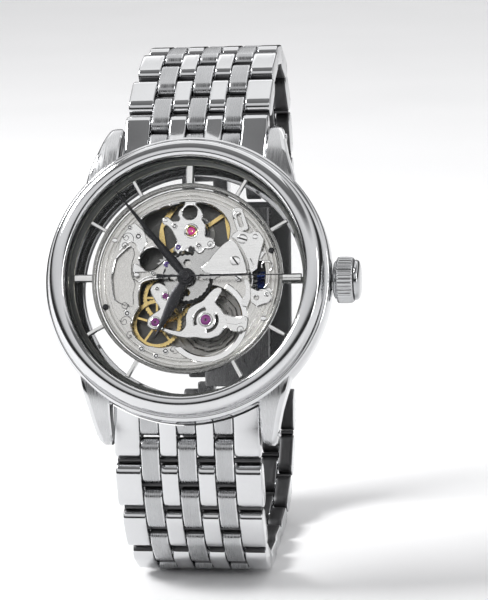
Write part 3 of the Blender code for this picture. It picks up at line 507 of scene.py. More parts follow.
def inset(loop, distance):
    """The outline moved to its left by distance, each corner along its own bisector."""
    after = np.roll(loop, -1, 0) - loop
    after /= np.linalg.norm(after, axis=1)[:, None] + 1e-12
    before = np.roll(after, 1, 0)
    both = np.stack([-(after + before)[:, 1], (after + before)[:, 0]], -1)
    size = np.clip((both ** 2).sum(1) / 2, 0.7, None)
    return loop + both * (distance / size)[:, None]


def area(loop):
    """Twice the signed area of an outline, positive if it runs anticlockwise."""
    after = np.roll(loop, -1, 0)
    return (loop[:, 0] * after[:, 1] - loop[:, 1] * after[:, 0]).sum()


def plate(outlines, low, high, bevel=0.1, look=0, edge=1, wall=1):
    """A flat piece: walls up each outline, a bevel in towards the metal, and a triangulated face.

    The first outline is the outside, the others are holes.
    """
    loops = [np.asarray(loop, float) for loop in outlines]
    loops = [loop if (area(loop) > 0) == (i == 0) else loop[::-1] for i, loop in enumerate(loops)]
    where, faces, kinds = [], [], []
    levels = [(low, 0.0), (high - bevel, 0.0), (high, bevel)]
    for loop in loops:
        start, count = sum(len(w) for w in where), len(loop)
        for level, drawn in levels:
            where.append(np.column_stack([inset(loop, drawn), np.full(count, level)]))
        for ring in range(2):
            a = start + ring * count + np.arange(count)
            b = start + ring * count + np.roll(np.arange(count), -1)
            faces += np.stack([a, b, b + count, a + count], -1).tolist()
            kinds += [wall if ring == 0 else edge] * count
    index = np.concatenate([np.arange(len(loop)) + 3 * sum(len(p) for p in loops[:i])
                            for i, loop in enumerate(loops)])
    size = np.concatenate([np.full(len(loop), len(loop)) for loop in loops])
    flat = [[Vector((*p, 0)) for p in inset(loop, bevel)] for loop in loops]
    for corners in tessellate_polygon(flat):
        corners = np.array(corners)
        faces += [(index[corners] + 2 * size[corners]).tolist(), index[corners][::-1].tolist()]
        kinds += [look, wall]
    points = np.vstack(where)
    return in_dial(*points.T), faces, kinds, points[:, :2]


def hoop(centre, radius, count=40):
    """A circle as an outline."""
    angle = np.linspace(0, math.tau, count, endpoint=False)
    return np.stack([centre[0] + radius * np.cos(angle), centre[1] + radius * np.sin(angle)], -1)


def sweep(centre, radius, start, end, count=30):
    """Points along an arc about a centre, from one angle to another in degrees."""
    angle = np.radians(np.linspace(start, end, count))
    return list(zip(centre[0] + radius * np.cos(angle), centre[1] + radius * np.sin(angle)))


BARREL_AT = (2.8, -5.9)
PLATE_TOP, STEP_TOP, PLATE_FOOT = -0.42, -1.07, -1.5
BALANCE_WINDOW = rounded(
    [(-7.2, 8.3), (-5.9, 9.3), (-3.6, 10.3), (-0.9, 10.9), (1.4, 10.9), (3.4, 10.3), (5, 9),
     (5.8, 7.4), (5.7, 5.5), (4.1, 4.3), (2.6, 3.4), (-0.7, 3.2), (-2.8, 3.4), (-4.4, 5.1),
     (-6.1, 6.3)], 0.6)
DARK_WELL = rounded(
    [(-6.1, 4.3), (-4.9, 4.6), (-3.6, 3.8), (-2, 3), (-2.8, 2.8), (-3.6, 2.4), (-4.9, 1.3),
     (-5.9, 1.1), (-6.9, 2), (-7, 3)], 0.4)
TRAIN_WELL = np.vstack([
    rounded([(-1.2, -1.6), (-2.0, -0.2), (-3.6, 0.1), (-5.5, -0.1), (-6.6, -0.5), (-6.9, -2.2),
             (-6.7, -3.9), (-7.4, -4.9), (-7.9, -6.6), (-7.3, -8.1), (-5.5, -9.4), (-3.6, -9.7),
             (-1.5, -9.3)], 0.5)[3:-3],
    sweep(BARREL_AT, 4.95, -128, 112, 60)])
LEFT_RECESS = rounded(
    [(-10.3, 3), (-8.4, 4.8), (-7.9, 4.4), (-7.7, 3.4), (-8.1, 2.2), (-8.1, 0.5), (-7.4, -0.7),
     (-7.8, -2), (-7.6, -3.9), (-8.6, -3.8), (-10.4, -2.9), (-10.8, 0.3)], 0.6)
CLUTCH_WELL = rounded([(8.6, 2.2), (10.6, 2.6), (10.9, 1.0), (10.8, -1.7), (10.2, -2.1),
                       (9.2, -1.7), (8.6, 0.1)], 0.4)
plate_face = plate([hoop((0, 0), 11.35, 120), BALANCE_WINDOW, DARK_WELL, TRAIN_WELL,
                    LEFT_RECESS, CLUTCH_WELL], STEP_TOP + 0.01, PLATE_TOP, 0.13, 0, 2, 1)
plate_step = plate([hoop((0, 0), 12.6, 120), BALANCE_WINDOW, DARK_WELL, TRAIN_WELL, CLUTCH_WELL],
                   PLATE_FOOT, STEP_TOP, 0.02, 0, 1, 1)
barrel_rim = plate([sweep(BARREL_AT, 5.95, -140, 62, 50) + sweep(BARREL_AT, 5.0, 62, -134, 50)],
                   -0.46, -0.30, 0.14, 2, 2, 2)
rim = rounded([(12.85, -0.55), (12.8, -1.5), (11.3, -1.5), (11.3, -0.42), (11.62, -0.42),
               (11.66, -0.6), (11.8, -0.6), (11.84, -0.36), (12.28, -0.36), (12.32, -0.58),
               (12.44, -0.58), (12.48, -0.36), (12.7, -0.36)], 0.03, 2)
# a sunk ring under the hour wheel's teeth, coloured black as painted shade
sink = turned([(3.6, -0.405), (3.6, -0.43), (2.5, -0.43), (2.5, -0.405)], 96, look=3)
piece("main_plate_face", [plate_face, plate_step, barrel_rim, turned(rim, 200), sink],
      [rhodium_grain, painted_shade_wall, rhodium_bevel, painted_shade_black], "case",
      ["main_plate"], 30)

# ---- bridges ----
# Each bridge is a flat steel or plated brass bar over the wheels' pivots: grained on top, with a
# polished bevel filed all round, and held by screws.
balance_bridge = plate([rounded(
    [(-0.6, 10.9), (1.1, 10.9), (1, 10.4), (1.8, 9.7), (2.1, 9), (1.9, 8.3), (2.4, 7.7),
     (2.4, 6.6), (2.5, 5.8), (3.6, 5.6), (3.9, 4.9), (3.7, 4.3), (2.9, 4.1), (2.3, 4.2),
     (2.2, 3.7), (1.5, 3.4), (1, 3.8), (0.9, 4.3), (0.3, 4.4), (-0.6, 3.8), (-1.3, 3.4),
     (-1.9, 3.8), (-1.9, 4.6), (-1.5, 5.2), (-1.8, 5.8), (-2.4, 6.8), (-3, 7.4), (-3.6, 7.6),
     (-3.8, 8.2), (-3.5, 8.6), (-2.9, 8.7), (-2.6, 8.4), (-2.1, 8), (-1.4, 8.1), (-1.2, 8.3),
     (-1.5, 8.9), (-1.3, 9.6), (-0.6, 10.3)], 0.3), hoop((0.2, 9.3), 1.05),
    hoop((0.47, 6.6), 0.95)], 0.02, 0.38, 0.13)
piece("balance_bridge_plate", [balance_bridge], [rhodium_brushed, rhodium_bevel], "case",
      ["balance_bridge"], 30)

barrel_bridge = plate([rounded(
    [(4.9, -1.3), (5, -1.8), (4.4, -2.7), (4, -3.4), (4.9, -4.3), (5.4, -5.1), (6.8, -5.5),
     (8.5, -5.3), (8.8, -5.9), (8.6, -7.3), (7.7, -7.7), (6.6, -7.6), (5.6, -6.8), (5.3, -7.4),
     (4.6, -8.2), (3.5, -8.6), (2.5, -8.6), (1.4, -8.4), (0.2, -8.5), (-1, -8.3), (-2.3, -7.9),
     (-3.5, -7.3), (-3.3, -6.9), (-1.9, -7.3), (-0.6, -7.5), (0, -6.7), (-0.1, -5.4),
     (0.3, -4.3), (1.2, -3.7), (2.3, -3.2), (3.1, -2.2), (3.9, -1.4)], 0.35),
    hoop(BARREL_AT, 0.92),
    sweep(BARREL_AT, 1.75, 95, 205, 24) + sweep(BARREL_AT, 1.38, 205, 95, 24),
    sweep(BARREL_AT, 1.75, -85, 30, 24) + sweep(BARREL_AT, 1.38, 30, -85, 24)],
    -0.30, 0.10, 0.12)
wedge = plate([rounded([(5.6, -5.6), (6.9, -5.75), (8.3, -5.55), (8.5, -6.2), (7.0, -6.6),
                        (5.8, -6.4)], 0.1)], 0.09, 0.14, 0.03)
piece("barrel_bridge_plate", [barrel_bridge, wedge], [rhodium_brushed, rhodium_bevel], "case",
      ["barrel_bridge"], 30)

train_bridge = plate([rounded(
    [(-7.7, 2.3), (-6.9, 1.9), (-5.8, 1), (-4.8, 1.3), (-3.6, 2.4), (-2.7, 2.8), (-1.9, 2.3),
     (-1.6, 1.3), (-2.7, 0.7), (-4.4, 0.2), (-5.8, 0.2), (-6.9, -0.6), (-7.7, -0.1),
     (-7.9, 1.3)], 0.4), hoop((-2.93, 1.97), 0.5, 20)], -0.40, -0.08, 0.12)
third_bridge = plate([rounded(
    [(-5, -1), (-4, -0.5), (-2.9, -1.1), (-2.1, -2), (-2.3, -3.4), (-2.8, -5), (-3.3, -6.4),
     (-3.6, -7.1), (-4.7, -7.3), (-5.5, -6.7), (-5.5, -5.7), (-4.6, -4.9), (-3.6, -4.3),
     (-4.2, -3.6), (-4.8, -2.6), (-5.3, -1.7)], 0.45), hoop((-3.0, -2.51), 0.52, 20),
    hoop((-4.34, -6.2), 0.72, 24)], -0.44, -0.10, 0.12)
arm = plate([rounded(
    [(-8.5, 7.5), (-7.7, 8.1), (-7, 7.4), (-6.3, 6.8), (-5.8, 5.2), (-6.2, 4.3), (-6.9, 3.5),
     (-7.3, 4.3), (-7.6, 5), (-8.4, 5.3), (-10.0, 3.8), (-9.9, 5.0), (-9.3, 6.4)], 0.35)],
    -0.41, -0.16, 0.12)
piece("train_bridge_plates", [train_bridge, third_bridge, arm],
      [rhodium_brushed, rhodium_bevel], "case", sharp=30)

cover = plate([rounded(
    [(1.9, 1.35), (2.8, 2), (3.7, 3.3), (4.8, 4.5), (5.9, 5.3), (6.6, 5.2), (7.3, 4.1),
     (7.9, 2.9), (8.3, 1.6), (8.5, 0.6), (5.3, 0.5), (3.5, 0.5), (2.3, 0.8)], 0.3)],
    0.24, 0.44, 0.08)
setting = plate([rounded(
    [(6, 5.7), (6.5, 6.3), (7.2, 6.7), (8.8, 6.2), (9.2, 6.6), (10.1, 6.4), (10.8, 5.3),
     (10.5, 4.1), (10.1, 2.6), (9.9, 1.2), (9.1, 0.7), (8.8, 0.9), (8.6, 2), (7.9, 3.6),
     (6.8, 5.3)], 0.3), hoop((9.5, 5.7), 0.3, 16)], 0.06, 0.34, 0.08)
finger = plate([rounded([(6.0, 9.2), (6.5, 10.0), (7.5, 9.9), (8.6, 6.9), (7.0, 6.3)], 0.5),
                rounded([(6.7, 8.9), (7.2, 9.2), (7.8, 7.2), (7.3, 7.1)], 0.2)], 0.02, 0.2, 0.07)
cam = plate([rounded(
    [(8.9, -1.3), (9.9, -1.8), (10.7, -1.7), (11.5, -1.3), (12.1, -1.7), (11.9, -2.2),
     (12.1, -2.7), (11.6, -3.5), (10.6, -3.8), (9.9, -4.1), (9, -3.4), (8.5, -2.2)], 0.25),
    hoop((9.8, -2.8), 0.3, 16)], -0.34, -0.04, 0.09)
piece("winding_cover_plates", [cover, setting, finger, cam], [rhodium_brushed, rhodium_bevel],
      "case", ["keyless_cover"], 30)

# ---- screws, posts and springs ----
# Small steel screws hold the bridges; posts carry levers, and fine wire springs press on them.
SCREWS = [  # (x, y, radius, kind, level): 0 a plain post, 1 a ringed head, 2 slotted, 3 black
    (-10.5, 5.5, 0.4, 0, -0.36), (-7.1, 6.0, 0.5, 1, -0.16), (-1.9, 7.3, 0.42, 1, 0.38),
    (-3.25, 8.15, 0.34, 0, 0.38), (1.6, 4.5, 0.42, 1, 0.38), (7.7, 5.4, 0.72, 2, 0.34),
    (6.8, 2.3, 0.7, 2, 0.44), (9.5, 5.7, 0.4, 0, 0.30), (11.7, 3.9, 0.42, 3, -0.36),
    (7.2, 0.0, 0.55, 2, -0.30), (10.8, -5.7, 0.42, 0, -0.36), (-11.5, -4.0, 0.44, 3, -0.36),
    (-8.4, -4.9, 0.46, 1, -0.42), (-6.2, -9.9, 0.44, 1, -0.36), (-2.8, -10.2, 0.46, 1, -0.42),
    (-4.1, -10.9, 0.42, 1, -0.38), (-7.2, 0.5, 0.4, 0, -0.08), (-4.9, 0.75, 0.36, 1, -0.08),
    (-8.4, 7.3, 0.38, 1, -0.16), (11.2, -2.4, 0.34, 2, -0.04), (-4.2, -1.5, 0.34, 1, -0.10)]
black_steel = surface("black_steel", (0.045, 0.045, 0.05), 0.25, grain=2500,
                      tint=0.3)


def screw(x, y, radius, kind, level):
    """A domed head with a chamfer; the slot is a black bar let in and the ring a groove, both
    coloured black as painted shade.
    """
    top = level + 0.14
    head = 3 if kind == 3 else 0
    if kind == 1:
        profile = [(radius * r, top - d) for r, d in
                   ((1, 0.2), (1, 0.05), (0.9, 0), (0.72, 0), (0.66, 0.1), (0.44, 0.1),
                    (0.4, 0.02), (0.05, 0))]
        looks = np.array([0, 0, 0, 2, 2, 2, 0])[:, None]
    else:
        profile = [(radius * r, top - d) for r, d in
                   ((1, 0.2), (1, 0.07), (0.93, 0.02), (0.8, 0), (0.5, -0.01), (0.05, -0.015))]
        looks = head
    made = [turned(profile, 28, (x, y), closed=False, look=looks)]
    if kind == 2:
        slot = radius * np.array([(-0.98, -0.16), (0.98, -0.16), (0.98, 0.16), (-0.98, 0.16)])
        turn = math.radians(35 + 40 * x)
        spun = slot @ np.array([(math.cos(turn), math.sin(turn)),
                                (-math.sin(turn), math.cos(turn))])
        made.append(plate([spun + (x, y)], top - 0.1, top + 0.022, 0.01, 2, 2, 2))
    return made


def wire(path, level, radius=0.07, look=0, sides=8):
    """A round wire along a flat path: a ring stands square to the path at each of its points."""
    path = np.asarray(path, float)
    heading = np.gradient(path, axis=0)
    heading /= np.linalg.norm(heading, axis=1)[:, None]
    normal = np.stack([-heading[:, 1], heading[:, 0]], -1)
    around = np.linspace(0, math.tau, sides, endpoint=False)
    x = path[:, :1] + radius * normal[:, :1] * np.cos(around)
    y = path[:, 1:] + radius * normal[:, 1:] * np.cos(around)
    return grid(in_dial(x, y, level + radius * np.sin(around) + 0 * x), look=look)


shells = sum((screw(*row) for row in SCREWS), [])
shells += [wire(sweep((6.9, 8.7), 0.55, -20, 250, 24), 0.3, 0.09),
           wire(sweep((11.2, 1.6), 0.75, 200, -60, 24), 0.05, 0.10),
           wire([(8.9, 2.6), (9.3, 1.9), (9.1, 0.9), (9.3, -0.3), (9.2, -1.3)], 0.42, 0.08),
           wire([(10.9, -1.4), (11.5, -0.8), (11.6, 0.1)], 0.0, 0.10),
           wire(sweep((10.7, -3.0), 1.3, -10, 110, 20), 0.12, 0.07),
           wire(sweep((0, 0), 8.9, 4, 34, 30), 0.14, 0.05)]
piece("movement_screws_and_springs", shells,
      [rhodium_bevel, rhodium_brushed, painted_shade_black, black_steel], "case",
      sharp=30)

# ---- engraving ----
# Scrolls are cut by hand in the plate near 10 and 8 o'clock and on the bridges' ends.
scrolls = []
for x, y, level, size, turn in ((-8.4, 5.9, -0.165, 0.8, 60), (-9.1, -3.9, -0.425, 0.7, 120),
                                (-8.3, -6.0, -0.425, 0.9, 60), (-9.1, 4.9, -0.165, 0.5, 200),
                                (-1.3, -9.9, -0.425, 0.7, 10), (7.6, -7.1, 0.095, 0.55, 200),
                                (3.2, 4.9, 0.375, 0.45, 30), (-7.9, -7.7, -0.425, 0.6, 30)):
    t = np.linspace(0, 1, 44)
    angle = math.radians(turn) + t * 4.2 * np.sin(t * math.pi) * 1.6
    curl = size * np.stack([(1 - t) * np.cos(angle * 2) + t * 1.2, (1 - t) * np.sin(angle * 2)
                            - t * 0.5], -1)
    spin = np.array([(math.cos(turn), math.sin(turn)), (-math.sin(turn), math.cos(turn))])
    scrolls.append(wire(curl @ spin + (x, y), level, 0.05, 0, 6))
# painted shade: the scrolls are thin raised lines coloured grey for the shade in the cuts
engraving_shade_grey = surface("engraving_shade_grey", (0.22, 0.22, 0.22), 0.4, grain=1500,
                        tint=0.4)
piece("engraved_scrolls", scrolls, [engraving_shade_grey], "case")

# ---- jewels ----
# Synthetic rubies are pressed in polished seats over each pivot. The balance's jewel is held by
# a gold shock spring with three lobes.
gold = surface("gilt_spring", (0.86, 0.66, 0.28), 0.16, grain=2500, tint=0.15)
ruby_pink = surface("ruby_pink", (0.80, 0.06, 0.34), 0.10, metal=0.25, grain=900,
                    spread=0.04, tint=0.35, coat=0.8)
ruby_purple = surface("ruby_purple", (0.26, 0.04, 0.24), 0.10, metal=0.25, spread=0.04,
                      grain=900, tint=0.35, coat=0.8)
ruby_violet = surface("ruby_violet", (0.12, 0.07, 0.30), 0.10, metal=0.25, spread=0.04,
                      grain=900, tint=0.35, coat=0.8)


def jewel(x, y, radius, level, look):
    """A polished seat with a chamfer, round a domed stone with a small oil cup, coloured dark as
    painted shade.
    """
    seat = rounded([(radius * 1.22, level - 0.1), (radius * 1.22, level + 0.04),
                    (radius * 1.05, level + 0.07), (radius * 0.98, level - 0.02),
                    (radius * 0.98, level - 0.1)], 0.02, 2)
    stone = [(radius * r, level + h) for r, h in ((1, -0.06), (0.98, 0.0), (0.8, 0.04),
                                                  (0.4, 0.05), (0.24, 0.04), (0.12, 0.0),
                                                  (0.03, -0.01))]
    looks = np.array([look, look, look, look, 3, 3])[:, None]
    return [turned(seat, 40, (x, y)), turned(stone, 40, (x, y), False, looks)]


shells = (jewel(-1.30, 4.3, 0.42, 0.36, 2) + jewel(-2.93, 1.97, 0.40, -0.10, 2)
          + jewel(-3.0, -2.51, 0.42, -0.12, 1) + jewel(-4.34, -6.2, 0.58, -0.12, 1)
          + jewel(BARREL_AT[0], BARREL_AT[1], 0.72, 0.08, 1))
piece("train_jewels", shells, [rhodium_bevel, ruby_purple, ruby_violet, painted_shade_black], "case")
lobes = np.linspace(0, math.tau, 73)
spring = np.stack([0.5 + (0.70 + 0.09 * np.cos(3 * lobes)) * np.cos(lobes),
                   6.8 - 0.2 + (0.70 + 0.09 * np.cos(3 * lobes)) * np.sin(lobes)], -1)
seat = rounded([(0.98, 0.2), (0.98, 0.42), (0.84, 0.46), (0.80, 0.30), (0.80, 0.2)], 0.03, 2)
shells = [turned(seat, 48, (0.5, 6.6)), wire(spring, 0.42, 0.07, 3)]
shells += jewel(0.5, 6.6, 0.56, 0.36, 1)[1:]
piece("balance_jewel", shells, [rhodium_bevel, ruby_pink, ruby_violet, gold], "case",
      ["shock_setting"])

# ---- wheels and springs that stay as cut ----
# The going train's wheels are gilt brass, grained in circles; pinions, fork, levers and springs
# are steel. Their flat cut shapes are already right, so they only take their finish.
gilt = surface("gilt_brass", (0.92, 0.70, 0.30), 0.24, grain=2500, spread=0.08,
               relief=0.004, tint=0.22)
nickel = surface("nickel", (0.42, 0.41, 0.39), 0.33, grain=2200, spread=0.1,
                 relief=0.004, tint=0.3)
train_steel = surface("train_steel", (0.62, 0.62, 0.61), 0.22, grain=3000,
                      spread=0.08, relief=0.004, tint=0.2)
rear_rhodium = surface("rear_rhodium", (0.46, 0.46, 0.44), 0.34, grain=(160, 5200, 3000),
                       spread=0.1, relief=0.008, axes="dial", tint=0.3)
blued = surface("blued_steel", (0.03, 0.06, 0.22), 0.22, grain=2500, tint=0.4)
rubber = surface("gasket_rubber", (0.02, 0.02, 0.02), 0.7, metal=0.0, grain=2500,
                 tint=0.3)
rotor_steel = surface("rotor_steel", (0.55, 0.55, 0.54), 0.30, grain=(3200, 20, 3000),
                      spread=0.1, relief=0.008, axes="ring", tint=0.25)
KEPT = {
    "centre_wheel": gilt, "third_wheel": gilt, "fourth_wheel": gilt, "balance_wheel": gilt,
    "barrel": nickel, "mainspring": train_steel, "hairspring": blued, "escape_wheel": train_steel,
    "pallet_fork": train_steel, "ratchet_wheel": train_steel, "hour_wheel": train_steel,
    "minute_wheel": train_steel, "cannon_pinion": train_steel, "winding_stem": train_steel,
    "clutch_wheel": blued, "setting_lever": rhodium_brushed, "yoke": rhodium_brushed,
    "balance_cock": rear_rhodium, "crown_tube": satin_lug, "crown_gasket": rubber,
    "case_back_crystal": sapphire}
for node, look in KEPT.items():
    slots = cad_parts[node].data.materials
    slots.clear()
    slots.append(look)

# ---- rear bridge and winding weight ----
# The rear bridge carries the wheels' lower pivots and the weight's post. Its back is striped and
# its front plain grained. The winding weight is a heavy rim on a thin arm, bevelled and grained.
# painted shade: a dark grey for the rear bridge's front face, seen at the bottom of the wells
shaded_floor_grey = surface("painted_shade_well_floor", (0.17, 0.17, 0.165), 0.36, grain=(7000, 10, 3000), spread=0.1,
                     relief=0.006, axes="ring", tint=0.35)
pivots = [hoop(BARREL_AT, 0.95, 24), hoop((-4.4, -6.1), 0.6, 20), hoop((7.8, -0.4), 1.6, 32),
          hoop((-8.4, -1.4), 0.8, 20), hoop((0, 0), 0.5, 16), hoop((0.5, 6.8), 2.6, 40)]
# the front face takes the dark painted shade
rear = plate([hoop((0, 0), 12.4, 96)] + pivots, -3.90, -3.40, 0.08, 0, 1, 1)
posts = [turned([(0.8, -3.5), (0.8, -1.6), (0.7, -1.5), (0.05, -1.5)], 24, at, False, 1)
         for at in ((-10.4, 1.0), (10.6, -3.6), (-10.0, -5.6))]
weight_post = rounded([(0.85, -3.6), (0.85, -4.9), (0.5, -4.9), (0.5, -3.6)], 0.06, 3)
piece("rear_bridge_plate", [rear, turned(weight_post, 40, look=1)] + posts,
      [shaded_floor_grey, rear_rhodium], "case", ["rear_bridge"], 30)
weight_outline = rounded(sweep((0, 0), 12.4, 180, 360, 60) + sweep((0, 0), 2.1, 0, 180, 20), 0.3)
weight_window = rounded(sweep((0, 0), 10.2, 350, 190, 50) + sweep((0, 0), 3.4, 205, 335, 20), 0.4)
weight = plate([weight_outline, weight_window, hoop((0, 0), 1.0, 32)], 4.42, 4.95, 0.12, 0, 1, 1)


def from_behind(shell, turn=0.0):
    """The same shell facing the back: levels change sign, and it turns about the dial's centre.

    The lean is taken off first, so that y and the level can be read, and turn is in degrees.
    """
    where, faces, kinds, uv = shell
    x, back, up = (where / MM - DIAL_CENTRE).T
    y = back * math.sin(LEAN) + up * math.cos(LEAN)
    out = up * math.sin(LEAN) - back * math.cos(LEAN)
    a = math.radians(turn)
    return in_dial(x * math.cos(a) - y * math.sin(a), x * math.sin(a) + y * math.cos(a),
                   -out), faces, kinds, uv


# the groove round the weight's rim is a thin strip coloured grey as painted shade
groove = from_behind(plate([sweep((0, 0), 11.9, 190, 350, 60) + sweep((0, 0), 11.6, 350, 190, 60)],
                           4.94, 4.965, 0.01, 2, 2, 2))
piece("winding_weight", [from_behind(weight), groove],
      [rotor_steel, rhodium_bevel, engraving_shade_grey], "rotor", ["rotor"], 30)

# ---- case back ----
# A polished ring is screwed in from behind, with six notches for its key, round a flat sapphire.
notches = []
# each notch is coloured dark as painted shade in its recess
for step in range(6):
    notch = plate([rounded([(17.1, -0.7), (18.1, -0.7), (18.1, 0.7), (17.1, 0.7)], 0.3)],
                  6.02, 6.115, 0.02, 1, 1, 1)
    notches.append(from_behind(notch, 30 + 60 * step))
back_profile = rounded([(19.2, -4.50), (19.1, -5.3), (18.8, -5.75), (18.2, -6.10), (16.0, -6.10),
                        (15.7, -5.85), (15.7, -4.50)], [0.1, 0.3, 0.3, 0.3, 0.2, 0.1, 0.1])
piece("case_back_ring", [turned(back_profile, 180)] + notches, [polished_steel, painted_shade_steel],
      "case", ["case_back"], 40)

# ---- crown ----
# The crown is turned from steel and finely fluted all round, with a stepped, domed end cap.
FLUTES, CROWN_X, CROWN_LEVEL = 36, 20.4, -2.1


def crown_shell():
    """Radius and distance out along a profile; over the fluted part a cosine cuts the flutes."""
    out, radius, cut = np.array([
        (0.02, 1.66, 0), (0.0, 2.45, 0), (0.15, 2.62, 0), (0.34, 2.66, 0), (0.40, 3.0, 0.2),
        (0.52, 3.16, 0.8), (0.75, 3.22, 1), (1.6, 3.24, 1), (2.35, 3.20, 1), (2.62, 3.08, 0.8),
        (2.74, 2.90, 0.2), (2.76, 2.72, 0), (2.84, 2.70, 0), (2.88, 2.78, 0), (3.05, 2.80, 0),
        (3.3, 2.70, 0), (3.5, 2.45, 0), (3.62, 2.0, 0), (3.68, 1.2, 0), (3.70, 0.05, 0)]).T
    angle = np.linspace(0, math.tau, FLUTES * 8, endpoint=False)
    depth = 0.13 * cut[:, None] * (0.5 - 0.5 * np.cos(FLUTES * angle)) ** 1.5
    r = radius[:, None] - depth
    look = np.zeros((19, 1), int)
    # the groove before the end cap is coloured dark as painted shade
    look[[10, 11]] = 1
    return grid(in_dial(CROWN_X + out[:, None] + 0 * r, r * np.cos(angle),
                        CROWN_LEVEL + r * np.sin(angle)), look=look)


# painted shade: a darker copy of the polished steel for the crown
shaded_crown_steel = surface("shaded_crown_steel", (0.50, 0.505, 0.515), 0.14, grain=1800,
                      spread=0.04, relief=0.001, tint=0.1)
piece("crown_fluted", [crown_shell()], [shaded_crown_steel, painted_shade_steel], "crown",
      ["crown"], 60)

# ---- folding clasp ----
# Two brushed blades fold flat under a brushed cover. The inner blade hangs on the lower side's
# last pin, the outer blade joins the two, and pins run through the ears.
CLASP_AT = (26.8512, 17.3479)
CLASP_TURN = math.atan2(0.9829473, 0.1838876)
CLASP_LENGTH = 33.037


def in_clasp(x, along, out):
    """Clasp points in metres: along runs up the clasp from its foot, out is towards the wrist."""
    x, along, out = np.broadcast_arrays(x, along, out)
    back = along * math.cos(CLASP_TURN) - out * math.sin(CLASP_TURN) + CLASP_AT[0]
    up = along * math.sin(CLASP_TURN) + out * math.cos(CLASP_TURN) + CLASP_AT[1]
    return np.stack([x, back, up], -1) * MM


def strip(outline, low, high, edge=0.18, crown=0.0, look=0, inner=None):
    """A bar across the clasp: its side outline drawn in at both edges, and crowned across.

    inner is the look of the flat face towards the wrist, which is coloured dark as painted shade.
    """
    outline = np.asarray(outline, float)
    x = np.concatenate([[low, low + edge * 0.3, low + edge],
                        np.linspace(low + 2 * edge, high - 2 * edge, 9),
                        [high - edge, high - edge * 0.3, high]])
    drawn = np.concatenate([[edge, edge * 0.35, 0], np.zeros(9), [0, edge * 0.35, edge]])
    loop = outline if area(outline) > 0 else outline[::-1]
    loops = np.stack([inset(loop, d) for d in drawn])
    share = (2 * (x - low) / (high - low) - 1)[:, None]
    out = loops[..., 1] * (1 + crown * (1 - share ** 2))
    uv = np.stack([x[:, None] + 0 * out, loops[..., 0]], -1)
    looks = np.array(np.broadcast_to(look, (len(x) - 1, len(loop))))
    if inner is not None:
        top = loop[:, 1] > loop[:, 1].max() - 0.1
        looks[:, top & np.roll(top, -1)] = inner
    return grid(in_clasp(x[:, None], loops[..., 0], out), look=looks, uv=uv)


def round_bar(at, radius, low, high, look=0):
    """A clasp pin or ear: a circle about its pivot carried across."""
    angle = np.linspace(0, math.tau, 25)[:-1]
    return strip(np.stack([at[0] + radius * np.cos(angle), at[1] + radius * np.sin(angle)], -1),
                 low, high, 0.1, 0, look)


cover_end = CLASP_LENGTH - 1.85
cover_side = rounded([(3.2, -0.5), (3.2, -1.35), (9.0, -1.9), (cover_end / 2, -2.0),
                      (cover_end - 6, -1.9), (cover_end, -1.35), (cover_end, -0.5)],
                     [0.1, 0.5, 3, 6, 3, 0.5, 0.1])
cover_look = np.zeros((14, 1), int)
cover_look[3:-3] = 1
EARS = ((-5.2, -3.95), (3.95, 5.2))
ear_side = rounded([(3.8, -1.0), (5.0, -1.0), (5.0, 0.6), (4.7, 0.85), (4.1, 0.85), (3.8, 0.6)],
                   0.25, 4)
ears = [strip(ear_side, low, high, 0.1) for low, high in EARS]
piece("clasp_cover_shell", [strip(cover_side, -8.3, 8.3, 0.3, 0.04, cover_look, 2)] + ears,
      [polished_steel, satin_bar, painted_shade_satin], "clasp_lid", ["clasp_cover"], 40)
# painted shade: a dark copy of the satin steel for the clasp blades
shaded_blade_steel = surface("shaded_blade_steel", (0.22, 0.22, 0.225), 0.30, grain=(9, 0.4, 1), spread=0.08,
                      relief=0.004, axes="uv", tint=0.2)
PIVOT_NEAR, PIVOT_FAR = (4.4, 0.25), (CLASP_LENGTH - 3.4, 0.25)
angle = np.radians(np.linspace(-90, 90, 9))
half_round = 0.58 * np.stack([np.cos(angle), np.sin(angle)], -1)
blade_side = np.vstack([PIVOT_FAR + half_round, PIVOT_NEAR - half_round])
pins_across = [round_bar(at, 0.33, -5.1, 5.1) for at in (PIVOT_NEAR, PIVOT_FAR)]
piece("clasp_outer_blade", [strip(blade_side, -3.8, 3.8)] + pins_across,
      [shaded_blade_steel], "clasp_outer", ["clasp_blade_outer"], 40)
blade_end = PIVOT_FAR[0] + 0.6
inner_side = rounded([(1.9, 1.0), (blade_end, 1.0), (blade_end, 2.2), (1.9, 2.2)], 0.25, 4)
ear_side = rounded([(PIVOT_FAR[0] + d, level) for d, level in (
    (-0.6, 1.4), (-0.6, -0.1), (-0.3, -0.35), (0.3, -0.35), (0.6, -0.1), (0.6, 1.4))], 0.25, 4)
shells = [strip(inner_side, -5.2, 5.2)] + [strip(ear_side, a, b, 0.1) for a, b in EARS]
tongue_side = rounded([(-1.4, -0.9), (-0.9, -1.4), (2.0, -1.4), (2.6, -0.9), (2.6, 1.4),
                       (-0.9, 1.4), (-1.4, 0.9)], 0.4, 4)
shells += [strip(tongue_side, a, b, 0.2) for a, b, satin in columns(NARROWEST_OUTER) if satin]
piece("clasp_inner_blade", shells, [shaded_blade_steel], "clasp_inner",
      ["clasp_blade_inner"], 40)

# ---- hands ----
# The hands are steel, plated charcoal: a leaf with a soft ridge down its middle, a turned hub.
charcoal = surface("charcoal_plate", (0.05, 0.05, 0.054), 0.32, grain=900,
                   spread=0.03, relief=0.0002, tint=0.10)
HAND_EDGE = np.array([-1.0, -0.93, -0.45, 0.0, 0.45, 0.93, 1.0, 1.0, -1.0])
HAND_RISE = np.array([0.25, 0.45, 0.85, 1.0, 0.85, 0.45, 0.25, 0.0, 0.0])


